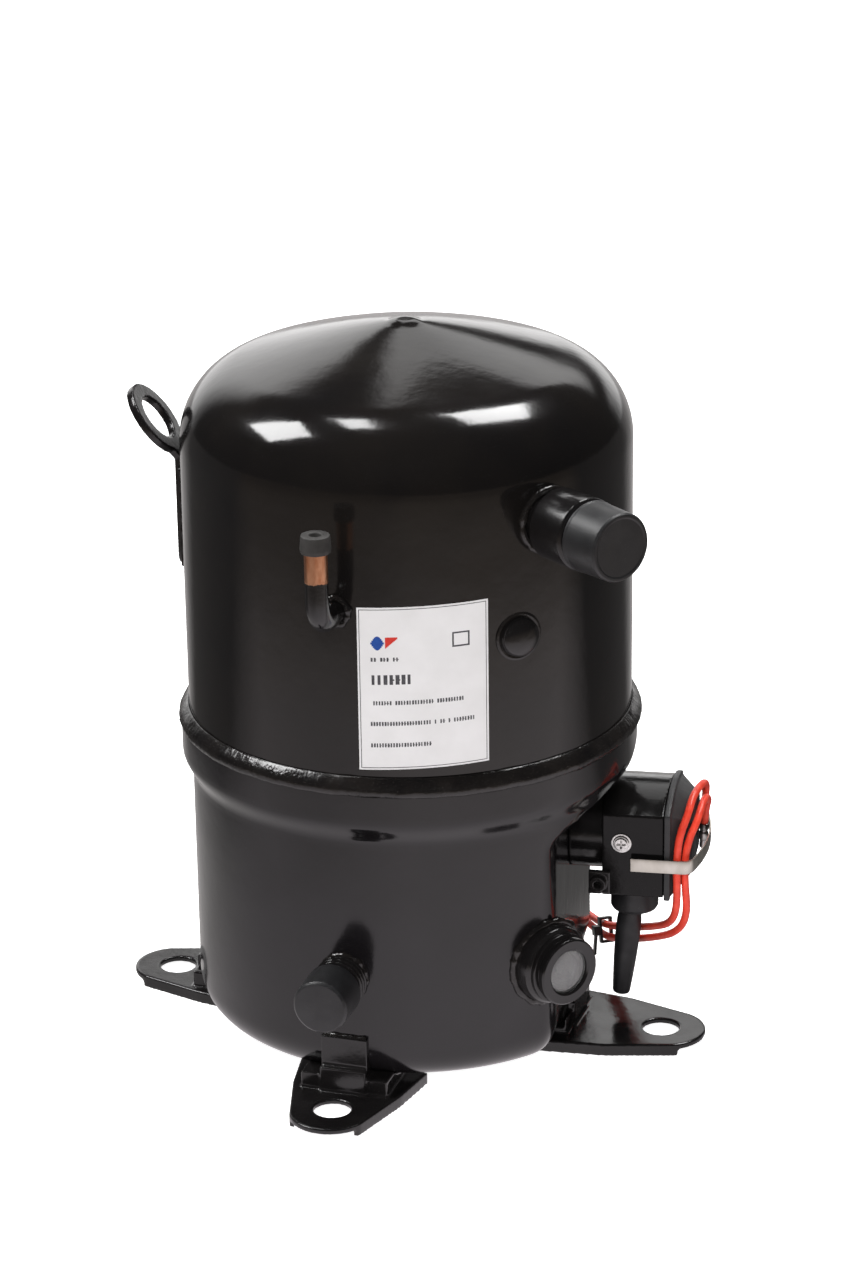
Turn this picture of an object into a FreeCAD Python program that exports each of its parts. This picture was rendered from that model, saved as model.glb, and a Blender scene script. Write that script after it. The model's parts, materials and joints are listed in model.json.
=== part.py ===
"""Hermetic twin-piston refrigeration compressor in a welded two-part steel shell.

Units are millimetres, +Z is up. The origin is on the shell's vertical axis, at the level of the
surface that the feet stand on. A heading is an angle about +Z, in degrees, counted from +X.
"""
import FreeCAD, Part
import math
import os

V = FreeCAD.Vector

# ---------------------------------------------------------------- shell
WALL = 4.0
UPPER_R = 114.0            # upper shell, outside
LOWER_R = 113.0            # lower shell, outside
LIP_R = 118.0              # flared mouth of the lower shell, outside
BASE_Z = 10.0              # underside of the lower shell
BASE_CORNER_R = 20.0
FLARE_START_Z = 146.0
FLARE_END_Z = 154.0
LIP_TOP_Z = 170.0
UPPER_EDGE_Z = 156.0       # bottom edge of the upper shell, inside the lip
SHOULDER_R = 42.0
SHOULDER_Z = 318.0         # where the upper shell starts to curve in
DOME_SLOPE = 14.0          # degrees, the shallow cone inside the shoulder
NUB_R = 7.0
NUB_HEIGHT = 2.0
WELD_R = 120.0
WELD_TOP_Z = 179.0

# ---------------------------------------------------------------- flattened terminal side
TERMINAL_HEADING = 8.0
FLAT_X = 85.0              # outside of the flat wall, from the axis
FLAT_CORNER_R = 20.0
FLAT_TOP_Z = 132.0
FLAT_SHOULDER_Z = 150.0
SEAM_HEADING = 200.0       # the turned shells' seam, kept clear of the flat
HEADER_Z = 110.0
HEADER_R = 17.0

# ---------------------------------------------------------------- feet
HOLE_CIRCLE_R = 134.7      # four holes on a 190.5 mm square
HOLE_R = 9.5
FOOT_HEADINGS = {"foot_right": 0.0, "foot_rear": 90.0, "foot_left": 180.0, "foot_front": 270.0}
FOOT_PLATE_BOTTOM = 3.5
FOOT_PLATE_TOP = 6.5
FOOT_FLANGE_T = 2.6
FOOT_INNER_X = 84.0
FOOT_INNER_HALF = 34.0
FOOT_OUTER_HALF = 23.0
FOOT_END_R = 158.0

# ---------------------------------------------------------------- pipes and fittings
PORT_HEADING = -35.0       # suction port and sight glass are in line
FRONT_HEADING = -90.0      # discharge port and process tube are in line
SUCTION_Z = 303.0
SUCTION_REACH = 168.0
DISCHARGE_Z = 69.0
DISCHARGE_REACH = 150.0
SIGHT_Z = 68.0
SIGHT_REACH = 130.0
PROCESS_Z = 264.0
PROCESS_REACH = 139.0
PROCESS_R = 5.7
PLUG_HEADING = -44.0
PLUG_Z = 247.0
LABEL_HEADING = -68.4
LABEL_Z = 226.0
LABEL_W = 64.0
LABEL_H = 84.0
EYE_HEADING = -172.0

# ---------------------------------------------------------------- terminal box
BOX_BACK_X = 103.5
BOX_FRONT_X = 135.0
BOX_HALF = 30.0
BOX_BOTTOM_Z = 85.0
BOX_SIDE_Z = 129.5         # top of the straight sides
BOX_RISE = 6.0             # the roof's rise over them
BOX_T = 2.5
COVER_FACE_X = 148.5
STRAP_Z = 103.7            # at the near side; the strap climbs to the far side
STRAP_LEAN = 5.5           # degrees
STRAP_W = 7.5
STRAP_T = 0.8
STRAP_SIDE = 33.2
STRAP_CORNER_X = 149.0
STRAP_MID_X = 156.0
STRAP_HINGE_X = 133.0
STRAP_END_X = 118.0
SLEEVE_TOP = (117.0, 66.0)  # where the sleeve leaves the gland
SLEEVE_BOTTOM = (110.2, 16.5)
LEAD_R = 2.0
HEATER_HEADING = 105.0
HEATER_Z = 43.0

# ---------------------------------------------------------------- pump
PUMP_TURN = 30.0           # heading of the pump's own +X; the cylinders lie along its Y
CYLINDER_Z = 92.0
BORE_R = 22.0
ECCENTRIC = 12.0
RUNNING_GAP = 0.04
CROWN_Y = 57.0             # piston crown at mid-stroke
SKIRT_Y = 34.5             # piston's inner end at mid-stroke
NECK_Y = 43.0              # end of the yoke's necks, inside the pistons
VALVE_PLATE_Y = 69.6
VALVE_PLATE_T = 6.0
HEAD_END_Y = 95.0
LOOP_R = 4.0               # discharge tube inside the shell
LOOP_START = (-30.0, -85.35)
LOOP_POINTS = [(3.4, -96.7, 92.0), (0.0, -88.5, 69.0)]
GALLERY_R = 3.0            # oil gallery along the crankshaft
BLOCK_BOTTOM_Z = 66.0
BLOCK_TOP_Z = 124.0
DISC_Z = 140.0
JOURNAL_R = 15.0
LOWER_JOURNAL_R = 10.0
PIN_R = 11.0
ROTOR_R = 41.4
STATOR_BORE_R = 42.0
STATOR_R = 75.0
STACK_BOTTOM_Z = 190.0
STACK_TOP_Z = 285.0
SPRING_X = 47.0
SPRING_Y = 43.0
SPRING_BOTTOM_Z = 20.0
SPRING_TOP_Z = 57.0
SPRING_COIL_R = 10.2
SPRING_WIRE_R = 1.5


# ================================================================ helpers
def cyl(radius, base, direction, height):
    return Part.makeCylinder(radius, height, V(*base), V(*direction))


def ring(outer, inner, base, direction, height):
    return cyl(outer, base, direction, height).cut(cyl(inner, base, direction, height))


def cut_each(body, tools):
    """Cut the tools away one after another."""
    for tool in tools:
        body = body.cut(tool)
    return body


def cap_arc(radius, z, height):
    """The arc of a spherical cap from (radius, z) to its top on the axis."""
    sphere = (radius ** 2 + height ** 2) / (2 * height)
    centre = z + height - sphere
    half = math.asin(radius / sphere) / 2
    return ((sphere * math.sin(half), centre + sphere * math.cos(half)), (0.0, z + height))


def block(x0, x1, y0, y1, z0, z1):
    return Part.makeBox(x1 - x0, y1 - y0, z1 - z0, V(x0, y0, z0))


def turn(shape, heading):
    """Turn a shape about the vertical axis."""
    out = shape.copy()
    out.rotate(V(0, 0, 0), V(0, 0, 1), heading)
    return out


def outline(items):
    """A closed wire. An item is a point, or (middle, end) for an arc from the last point."""
    edges = []
    start = last = V(*items[0])
    for item in items[1:]:
        if isinstance(item[0], (tuple, list)):
            middle, end = V(*item[0]), V(*item[1])
            edges.append(Part.Arc(last, middle, end).toShape())
        else:
            end = V(*item)
            edges.append(Part.LineSegment(last, end).toShape())
        last = end
    if last.distanceToPoint(start) > 1e-6:
        edges.append(Part.LineSegment(last, start).toShape())
    return Part.Wire(edges)


def turned(items):
    """A solid turned about Z from (r, z) items, where an arc is ((r, z), (r, z))."""
    def lift(p):
        return (p[0], 0.0, p[1])
    full = [tuple(map(lift, i)) if isinstance(i[0], tuple) else lift(i) for i in items]
    return Part.Face(outline(full)).revolve(V(0, 0, 0), V(0, 0, 1), 360)


def arc_point(centre, radius, degrees):
    a = math.radians(degrees)
    return (centre[0] + radius * math.cos(a), centre[1] + radius * math.sin(a))


def prism(items, thickness):
    """Push a flat outline through a distance vector."""
    return Part.Face(outline(items)).extrude(V(*thickness))


def route(points):
    """Straight runs joined by tangent arcs as large as the runs allow. Returns wire and radii."""
    pts = [V(*p) for p in points]
    edges, radii = [], []
    last = pts[0]
    for before, corner, after in zip(pts, pts[1:], pts[2:]):
        u, w = (before - corner).normalize(), (after - corner).normalize()
        half = (math.pi - u.getAngle(w)) / 2
        cut = 0.45 * min((corner - before).Length, (after - corner).Length)
        radii.append(cut / math.tan(half))
        a, b = corner + u * cut, corner + w * cut
        bend = (u + w).normalize()
        centre = corner + bend * math.hypot(cut, radii[-1])
        middle = centre - bend * radii[-1]
        edges.append(Part.LineSegment(last, a).toShape())
        edges.append(Part.Arc(a, middle, b).toShape())
        last = b
    edges.append(Part.LineSegment(last, pts[-1]).toShape())
    return Part.Wire(edges), radii


def pipe(points, radius, name, bore=0.0):
    """A round tube along a route, solid or bored."""
    wire, radii = route(points)
    first = V(*points[1]) - V(*points[0])

    def sweep(r):
        section = Part.Wire(Part.Circle(V(*points[0]), first, r).toShape())
        return Part.Solid(wire.makePipeShell([section], True, False).Shells[0])
    solid = sweep(radius)
    expected = math.pi * radius ** 2 * wire.Length
    print(name, "length %.1f" % wire.Length, "volume ratio %.4f" % (abs(solid.Volume) / expected),
          "radii", [round(r, 1) for r in radii])
    if solid.Volume < 0:
        solid.reverse()
    return solid.cut(sweep(bore)) if bore else solid


def arch(half, bottom, side_z, rise, x):
    """The terminal box's outline at a distance x: flat bottom, straight sides, low arched top."""
    return [(x, -half, bottom), (x, half, bottom), (x, half, side_z),
            ((x, 0, side_z + rise), (x, -half, side_z)), (x, -half, bottom)]


def terminal(shape):
    return turn(shape, TERMINAL_HEADING)


# ================================================================ shell
def lower_profile(radius, lip, bottom, corner_r, flare_end):
    c = (radius - corner_r, bottom + corner_r)
    return [(0.0, bottom), (c[0], bottom), (arc_point(c, corner_r, -45), (radius, c[1])),
            (radius, FLARE_START_Z), (lip, flare_end), (lip, LIP_TOP_Z), (0.0, LIP_TOP_Z)]


def flat_limit(radius, flat_x, corner_r, z0, z1):
    """Everything inside the flat and its rounded corners, with the sloped shoulder above."""
    beyond = 1.0            # the corner arcs end this far outside the round wall
    reach = math.sqrt((radius + beyond - corner_r) ** 2 - (flat_x - corner_r) ** 2)
    angle = math.degrees(math.atan2(reach, flat_x - corner_r))
    c = (flat_x - corner_r, reach)
    end = arc_point((0, 0), radius + beyond, angle)
    mid = arc_point(c, corner_r, angle / 2)
    far = 2 * radius
    section = [(flat_x, -reach, z0), (flat_x, reach, z0),
               ((mid[0], mid[1], z0), (end[0], end[1], z0)), (end[0], far, z0), (-far, far, z0),
               (-far, -far, z0), (end[0], -far, z0), (end[0], -end[1], z0),
               ((mid[0], -mid[1], z0), (flat_x, -reach, z0))]
    body = prism(section, (0, 0, FLAT_TOP_Z - z0))
    shoulder = [(-far, -far, FLAT_TOP_Z), (flat_x, -far, FLAT_TOP_Z),
                (flat_x + LIP_R - FLAT_X, -far, FLAT_SHOULDER_Z), (far, -far, FLAT_SHOULDER_Z),
                (far, -far, z1), (-far, -far, z1)]
    return terminal(body.fuse(prism(shoulder, (0, 2 * far, 0))))


def port_holes():
    """Through holes in the shell, for the fittings."""
    return {
        "lower": [turn(cyl(13.0, (80, 0, SIGHT_Z), (1, 0, 0), 50), PORT_HEADING),
                  turn(cyl(10.0, (80, 0, DISCHARGE_Z), (1, 0, 0), 50), FRONT_HEADING),
                  turn(cyl(HEADER_R, (60, 0, HEADER_Z), (1, 0, 0), 50), TERMINAL_HEADING),
                  turn(cyl(10.0, (80, 0, HEATER_Z), (1, 0, 0), 50), HEATER_HEADING)],
        "upper": [turn(cyl(14.0, (90, 0, SUCTION_Z), (1, 0, 0), 50), PORT_HEADING),
                  turn(cyl(PROCESS_R, (90, 0, PROCESS_Z), (1, 0, 0), 50), FRONT_HEADING),
                  turn(cyl(6.0, (90, 0, PLUG_Z), (1, 0, 0), 50), PLUG_HEADING)],
    }


def lower_fill():
    """The lower shell's outside as a filled solid."""
    body = turned(lower_profile(LOWER_R, LIP_R, BASE_Z, BASE_CORNER_R, FLARE_END_Z))
    return turn(body, SEAM_HEADING).common(flat_limit(LOWER_R, FLAT_X, FLAT_CORNER_R, 0.0, 200.0))


def lower_shell(shell_fill):
    inner = turned(lower_profile(LOWER_R - WALL, LIP_R - WALL, BASE_Z + WALL,
                                 BASE_CORNER_R - WALL, FLARE_END_Z + 0.6))
    limit = flat_limit(LOWER_R - WALL, FLAT_X - WALL, FLAT_CORNER_R - WALL, 5.0, 200.0)
    inner = turn(inner, SEAM_HEADING).common(limit)
    return cut_each(shell_fill.cut(inner), port_holes()["lower"])


def dome_profile(radius, shoulder_r, nub):
    c = (radius - shoulder_r, SHOULDER_Z)
    end = 90.0 - DOME_SLOPE
    knee = arc_point(c, shoulder_r, end)
    slope = math.tan(math.radians(DOME_SLOPE))
    items = [(0.0, UPPER_EDGE_Z), (radius, UPPER_EDGE_Z), (radius, SHOULDER_Z),
             (arc_point(c, shoulder_r, end / 2), knee)]
    if nub:
        rim = knee[1] + (knee[0] - NUB_R) * slope
        return items + [(NUB_R, rim), (0.35 * NUB_R, rim + NUB_HEIGHT), (0.0, rim + NUB_HEIGHT + 0.6)]
    return items + [(0.0, knee[1] + knee[0] * slope)]


def upper_shell():
    outer = turned(dome_profile(UPPER_R, SHOULDER_R, True))
    inner = turned(dome_profile(UPPER_R - WALL, SHOULDER_R - WALL, False))
    return cut_each(outer.cut(inner), port_holes()["upper"])


def girth_weld():
    return turned([(UPPER_R, LIP_TOP_Z), (LIP_R + 0.6, LIP_TOP_Z),
                   ((WELD_R, LIP_TOP_Z + 4.2), (UPPER_R + 3.0, WELD_TOP_Z - 2.0)),
                   ((UPPER_R + 1.2, WELD_TOP_Z - 0.6), (UPPER_R, WELD_TOP_Z))])


# ================================================================ feet and lifting eye
def foot_outline(inner_x, grow, z):
    """Plan of a foot: it narrows outwards and ends in a wide arc."""
    inner, outer = FOOT_INNER_HALF + grow, FOOT_OUTER_HALF + grow
    corner_x = FOOT_END_R - 12.0
    return [(inner_x, -inner, z), (112.0, -inner + 5.0, z), (corner_x, -outer + 4.0, z),
            ((FOOT_END_R, 0.0, z), (corner_x, outer - 4.0, z)),
            (112.0, inner - 5.0, z), (inner_x, inner, z)]


def foot(inner_x, wall_x):
    """A foot for a shell wall that stands at wall_x from the axis."""
    plate = prism(foot_outline(inner_x, 0.0, FOOT_PLATE_BOTTOM), (0, 0, FOOT_PLATE_TOP - FOOT_PLATE_BOTTOM))
    skirt = prism(foot_outline(inner_x, 0.0, 0.0), (0, 0, FOOT_PLATE_TOP))
    skirt = skirt.cut(prism(foot_outline(inner_x - 1, -FOOT_FLANGE_T, 0.0), (0, 0, FOOT_PLATE_TOP)))
    flange_end = FOOT_END_R - 10.0
    skirt = skirt.common(block(inner_x, flange_end, -60, 60, -1, 20))
    tongue = block(wall_x - 17, wall_x + 5.5, -12.0, 12.0, FOOT_PLATE_TOP - 1.0, 36.0)
    tongue = tongue.cut(block(wall_x + 2.5, 130, -20, 20, 20.0, 40.0))
    gusset = block(wall_x - 25, wall_x + 4, -FOOT_OUTER_HALF, FOOT_OUTER_HALF,
                   FOOT_PLATE_TOP - 1.0, 15.0)
    body = plate.fuse([skirt, tongue, gusset])
    body = body.cut(cyl(HOLE_R, (HOLE_CIRCLE_R, 0, -1), (0, 0, 1), 20))
    return body


def feet(shell_fill):
    """The four welded feet, cut back to the outside of the shell."""
    out = {}
    for name, heading in FOOT_HEADINGS.items():
        on_flat = name == "foot_right"
        shape = foot(70.0, FLAT_X + 1.0) if on_flat else foot(FOOT_INNER_X, LOWER_R)
        out[name] = turn(shape, heading).cut(shell_fill)
    return out


def lifting_eye():
    """A flat bar welded to the shell, with an eye that leans outwards."""
    half, t = 9.0, 4.0
    stem = block(UPPER_R - 0.6, UPPER_R + t, -half, half, 254.0, 306.0)
    stem = stem.fuse(cyl(half, (UPPER_R - 0.6, 0, 254.0), (1, 0, 0), t + 0.6))
    lean = math.radians(37.0)
    up = (math.sin(lean), 0.0, math.cos(lean))
    out = (math.cos(lean), 0.0, -math.sin(lean))
    foot_at = V(UPPER_R + t / 2, 0, 304.0) - V(*out) * (t / 2)
    centre = foot_at + V(*up) * 22.0
    disc = cyl(20.0, tuple(centre), out, t)
    neck = prism([tuple(foot_at + V(0, -half, 0)), tuple(foot_at + V(0, half, 0)),
                  tuple(centre + V(0, half + 5, 0)), tuple(centre + V(0, -half - 5, 0))],
                 tuple(V(*out) * t))
    body = stem.fuse([disc, neck]).cut(cyl(12.0, tuple(centre - V(*out)), out, t + 2))
    wall = cyl(UPPER_R, (0, 0, 200), (0, 0, 1), 118.0)
    return turn(body, EYE_HEADING).cut(wall)


# ================================================================ pipes and fittings
def process_tube():
    """Copper charging tube: straight out of the shell, then up."""
    x0, x1, top = UPPER_R - 6.0, PROCESS_REACH, 302.0
    tube = pipe([(x0, 0, PROCESS_Z), (x1, 0, PROCESS_Z), (x1 + 0.01, 0, top)],
                PROCESS_R, "process_tube", PROCESS_R - 1.2)
    return turn(tube, FRONT_HEADING)


def process_plug():
    """Rubber plug pushed into the charging tube's mouth."""
    x, z = PROCESS_REACH + 0.01, 302.0
    flange = turned([(0, 0), (7.2, 0), (7.6, 2.0), (7.2, 9.0), (3.0, 9.0), (3.0, 4.0), (0, 4.0)])
    spigot = turned([(0, 0), (PROCESS_R - 1.3, 0), (PROCESS_R - 1.9, -9.0), (0, -9.0)])
    body = flange.fuse(spigot)
    body.translate(V(x, 0, z + 0.3))
    return turn(body, FRONT_HEADING)


def along_x(items, start, z, heading):
    """A turned solid laid along a heading; its own axis runs outwards from start."""
    body = turned(items)
    body.rotate(V(0, 0, 0), V(0, 1, 0), 90)
    body.translate(V(start, 0, z))
    return turn(body, heading)


def suction_adapter():
    end = 160.0 - 106.0
    return along_x([(10.5, 0), (14.0, 0), (14.0, 14.0), (18.0, 16.0), (18.0, 36.5), (14.5, 38.5),
                    (14.5, end), (10.5, end)], 106.0, SUCTION_Z, PORT_HEADING)


def push_cap(radius, tip_r, bore_r, length, face_t, start, z, heading):
    """A moulded cap: a slightly tapered cup."""
    return along_x([(bore_r, 0), (radius, 0), (tip_r, length - 1.2),
                    ((tip_r - 0.4, length - 0.3), (tip_r - 1.3, length)), (0, length),
                    (0, length - face_t), (bore_r, length - face_t)], start, z, heading)


def suction_cap():
    start = 145.5
    return push_cap(17.8, 17.0, 14.6, SUCTION_REACH - start, 3.0, start, SUCTION_Z, PORT_HEADING)


def discharge_stub():
    """Steel stub with a coarse external thread near the wall."""
    items = [(5.0, 0), (10.0, 0), (10.0, 7.0), (11.2, 7.4)]
    for i in range(4):
        x = 7.5 + i * 3.2
        items += [(13.4, x + 0.9), (13.4, x + 1.7), (11.6, x + 3.0)]
    items += [(11.0, 21.0), (11.0, 36.0), (5.0, 36.0)]
    return along_x(items, 106.0, DISCHARGE_Z, FRONT_HEADING)


def discharge_cap():
    start = 128.5
    return push_cap(14.2, 13.9, 11.1, DISCHARGE_REACH - start, 3.0, start, DISCHARGE_Z,
                    FRONT_HEADING)


def sight_glass_boss(shell_fill):
    """Weld boss whose back fits the curved wall, with a spigot through the wall."""
    boss = along_x([(12.0, 0), (20.5, 0), (20.0, 12.0), (18.2, 13.5), (12.0, 13.5)], 108.0,
                   SIGHT_Z, PORT_HEADING)
    spigot = along_x([(12.0, 0), (13.0, 0), (13.0, 15.0), (12.0, 15.0)], 106.0, SIGHT_Z,
                     PORT_HEADING)
    return boss.cut(shell_fill).fuse(spigot)


def sight_glass_ring():
    return along_x([(10.2, 0), (18.2, 0), (18.2, 2.2), (15.8, 2.8), (15.8, 4.2), (17.4, 4.8),
                    (17.4, 8.0), (16.6, 8.5), (12.2, 8.5), (11.4, 7.7), (11.4, 5.0), (10.2, 5.0)],
                   121.5, SIGHT_Z, PORT_HEADING)


def sight_glass_lens():
    return along_x([(0, 0), (11.4, 0), (11.4, 1.6), cap_arc(11.4, 1.6, 1.4)], 126.5, SIGHT_Z,
                   PORT_HEADING)


def fusible_plug():
    """Domed pressure-safety plug in a drilled seat."""
    return along_x([(0, 0), (6.0, 0), (6.0, 7.4), (10.0, 7.4), (9.6, 9.5), cap_arc(9.6, 9.5, 3.9)],
                   106.7, PLUG_Z, PLUG_HEADING)


def nameplate():
    """Thin plate bent round the shell."""
    skin = ring(UPPER_R + 0.35, UPPER_R, (0, 0, LABEL_Z - LABEL_H / 2), (0, 0, 1), LABEL_H)
    reach = LABEL_W / 2 * 1.02
    window = block(50, 130, -reach, reach, LABEL_Z - LABEL_H, LABEL_Z + LABEL_H)
    return turn(skin.common(window), LABEL_HEADING)


# ================================================================ terminal side
def terminal_fence():
    """Steel collar welded to the flat round the terminals."""
    body = ring(20.9, 18.4, (FLAT_X, 0, HEADER_Z), (1, 0, 0), BOX_BACK_X - FLAT_X)
    return terminal(body)


def terminal_header():
    """Steel cup that carries the three glass-sealed pins."""
    body = along_x([(0, 0), (13.0, 0), (HEADER_R, 3.0), (HEADER_R, 8.0), (12.0, 8.0), (12.0, 3.5),
                    (0, 3.5)], FLAT_X - WALL - 1.0, HEADER_Z, 0.0)
    pins = [cyl(1.6, p, (1, 0, 0), 33.0) for p in pin_places()]
    return terminal(Part.Compound([body.cut(pins)] + pins))


def pin_places():
    start = 66.0
    return [(start, 7.5 * math.cos(math.radians(a)), HEADER_Z + 7.5 * math.sin(math.radians(a)))
            for a in (90, 210, 330)]


def terminal_box():
    """Arched steel box, open at the front, with the strap's hinge on its far side."""
    depth = BOX_FRONT_X - BOX_BACK_X
    body = prism(arch(BOX_HALF, BOX_BOTTOM_Z, BOX_SIDE_Z, BOX_RISE, BOX_BACK_X), (depth, 0, 0))
    hollow = prism(arch(BOX_HALF - BOX_T, BOX_BOTTOM_Z + BOX_T, BOX_SIDE_Z - BOX_T, BOX_RISE,
                        BOX_BACK_X + BOX_T), (depth, 0, 0))
    body = body.cut(hollow)
    body = body.cut(cyl(18.4, (BOX_BACK_X - 1, 0, HEADER_Z), (1, 0, 0), 5))
    body = body.cut(cyl(7.0, (SLEEVE_TOP[0], 0, BOX_BOTTOM_Z - 1), (0, 0, 1), 5))
    return terminal(body.fuse(strap_hinge()))


def terminal_cover():
    """Moulded cover: a rim that caps the box and a front with sloped sides."""
    rim_x, rim_t, grow = BOX_FRONT_X + 0.3, 3.2, 1.3
    rim = prism(arch(BOX_HALF + grow, BOX_BOTTOM_Z - grow, BOX_SIDE_Z + grow, BOX_RISE, rim_x),
                (rim_t, 0, 0))
    base = outline(arch(BOX_HALF - 0.4, BOX_BOTTOM_Z + 0.4, BOX_SIDE_Z, BOX_RISE, rim_x + rim_t))
    face = outline(arch(19.0, BOX_BOTTOM_Z + 10.0, BOX_SIDE_Z - 6.0, BOX_RISE - 2.0, COVER_FACE_X))
    front = Part.makeLoft([base, face], True)
    inside = prism(arch(BOX_HALF - 3.4, BOX_BOTTOM_Z + 3.4, BOX_SIDE_Z - 3.4, BOX_RISE, rim_x - 1),
                   (rim_t, 0, 0))
    return terminal(rim.fuse(front).cut(inside))


def cover_strap():
    """Spring strap with a bowed front; the far leg ends in a hinge barrel, the near one in a lip."""
    z0, t = STRAP_Z - STRAP_W / 2, STRAP_T
    s, cx, mx = STRAP_SIDE, STRAP_CORNER_X, STRAP_MID_X
    front = prism([(cx, -s, z0), ((mx, 0, z0), (cx, s, z0)), (cx, s - t, z0),
                   ((mx - t, 0, z0), (cx, -s + t, z0))], (0, 0, STRAP_W))
    near = block(STRAP_END_X, cx, -s, -s + t, z0, z0 + STRAP_W)
    far = block(STRAP_HINGE_X, cx, s - t, s, z0, z0 + STRAP_W)
    lip = block(STRAP_END_X, STRAP_END_X + t, -s + t, -s + t + 1.0, z0, z0 + STRAP_W)
    barrel = cyl(1.5, (STRAP_HINGE_X, s - t / 2, z0 - 1.0), (0, 0, 1), STRAP_W + 2.0)
    bore = cyl(0.9, (STRAP_HINGE_X, s - t / 2, z0 - 2), (0, 0, 1), STRAP_W + 4)
    return terminal(lean(front.fuse([near, far, lip, barrel]).cut(bore)))


def lean(shape):
    """The strap and its hinge climb towards the box's far side."""
    shape.rotate(V(0, -STRAP_SIDE, STRAP_Z), V(1, 0, 0), STRAP_LEAN)
    return shape


def strap_hinge():
    """Two small ears with a pin on the box's far side, which the strap turns on."""
    y, z0 = STRAP_SIDE - STRAP_T / 2, STRAP_Z - STRAP_W / 2
    pin = cyl(0.85, (STRAP_HINGE_X, y, z0 - 3.0), (0, 0, 1), STRAP_W + 6.0)
    ears = [block(STRAP_HINGE_X - 1.9, STRAP_HINGE_X + 1.9, BOX_HALF - 0.7, y + 1.6, z, z + 1.6)
            for z in (z0 - 3.0, z0 + STRAP_W + 1.4)]
    return lean(pin.fuse(ears))


def box_screw():
    """Cross-recess screw in the box's near side."""
    x, z, y = 113.5, 114.4, -BOX_HALF
    head = cyl(4.0, (x, y, z), (0, -1, 0), 1.6).fuse(cyl(3.2, (x, y, z), (0, -1, 0), 2.4))
    slots = [block(x - 2.2, x + 2.2, y - 3, y - 1.2, z - 0.45, z + 0.45),
             block(x - 0.45, x + 0.45, y - 3, y - 1.2, z - 2.2, z + 2.2)]
    washer = ring(5.2, 1.9, (x, y, z), (0, -1, 0), 0.6)
    return terminal(head.cut(slots).fuse(washer))


def earth_lug():
    """Bracket with a tapped boss for the earth wire, on the box's lower rear corner."""
    z = 93.0
    plate = block(97.0, BOX_BACK_X, -34.0, -22.0, z - 6.0, z - 3.4)
    upright = block(97.0, 108.0, -33.0, -BOX_HALF, z - 6.0, z + 6.0)
    boss = ring(4.2, 2.0, (102.0, -33.0, z), (0, -1, 0), 3.5)
    return terminal(plate.fuse([upright, boss]).cut(cyl(2.0, (102.0, -29, z), (0, -1, 0), 9)))


def gland_collar():
    top, bottom = BOX_BOTTOM_Z, SLEEVE_TOP[1]
    body = turned([(8.2, bottom), (11.4, bottom), (12.4, bottom + 1.5), (12.4, top - 1.5),
                   (11.8, top), (8.2, top)])
    body.translate(V(SLEEVE_TOP[0], 0, 0))
    return terminal(body)


def sleeve_axis():
    top, low = V(SLEEVE_TOP[0], 0, BOX_BOTTOM_Z + 1.5), V(SLEEVE_BOTTOM[0], 0, SLEEVE_BOTTOM[1])
    return low, top - low


def cable_sleeve():
    """Rubber sleeve for the supply cable, hanging from the gland; it leans in a little."""
    low, axis = sleeve_axis()
    cone = Part.makeCone(4.7, 6.2, axis.Length, low, axis)
    return terminal(cone.cut(cyl(3.5, tuple(low - axis * 0.1), tuple(axis), axis.Length * 1.2)))


# ================================================================ crankcase heater and its leads
def heater_well():
    body = along_x([(8.0, 3.0), (8.0, 58.0), (10.0, 58.0), (10.0, 0), (0, 0), (0, 3.0)],
                   70.0, HEATER_Z, HEATER_HEADING)
    return body


def heater_element():
    return along_x([(0, 4.0), (7.8, 4.0), (7.8, 58.0), (9.6, 58.0), (9.6, 67.0), (8.6, 69.0),
                    (0, 69.0)], 70.0, HEATER_Z, HEATER_HEADING)


LEAD_A = [(-6.4, 133.0, 42.3), (12, 133, 40), (36, 126, 32), (57, 113, 23), (75, 98, 18),
          (88, 77, 20), (97, 57, 27), (107, 38, 36), (117, 18, 45.5), (128.5, 0, 55),
          (136.5, -14, 63.5), (141, -24.5, 74), (142.3, -29.9, 88), (141.7, -29.6, 104),
          (142.8, -29.5, 119), (146.8, -24.2, 130.0), (148.0, -15, 135.2), (150.0, -6, 137),
          (152.0, 4, 136.2), (152.4, 11.5, 131.5), (151.7, 14.5, 124), (151.4, 14.5, 115)]
LEAD_B = [(-6.4, 133.0, 37.7), (12, 133, 35.4), (36, 126, 27.4), (57, 113, 18.4), (75, 98, 13.0),
          (88, 77, 14.2), (97, 57, 20), (107.5, 38, 29), (118.5, 19, 38.5), (130.5, 3, 48),
          (138.5, -9, 56), (144.5, -18, 65.5), (146.8, -23.5, 77), (146.0, -26.4, 90),
          (145.4, -26.9, 104), (147.2, -25.3, 116), (151.2, -18.9, 124.7), (152.3, -9, 129.3),
          (153.4, -0.5, 130.0), (154.1, 6, 126.0), (152.5, 8.6, 120), (151.95, 8.6, 111)]


def lead(points, name):
    return terminal(pipe(points, LEAD_R, name))


def lead_ends():
    """Crimped bullet terminals on the leads' free ends."""
    ends = []
    for points in (LEAD_A, LEAD_B):
        last = V(*points[-1])
        axis = (last - V(*points[-2])).normalize()
        sleeve = cyl(2.5, tuple(last), tuple(axis), 9.0)
        bullet = cyl(1.7, tuple(last + axis * 9.0), tuple(axis), 5.0)
        ends.append(sleeve.fuse(bullet))
    return terminal(Part.Compound(ends))


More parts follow.
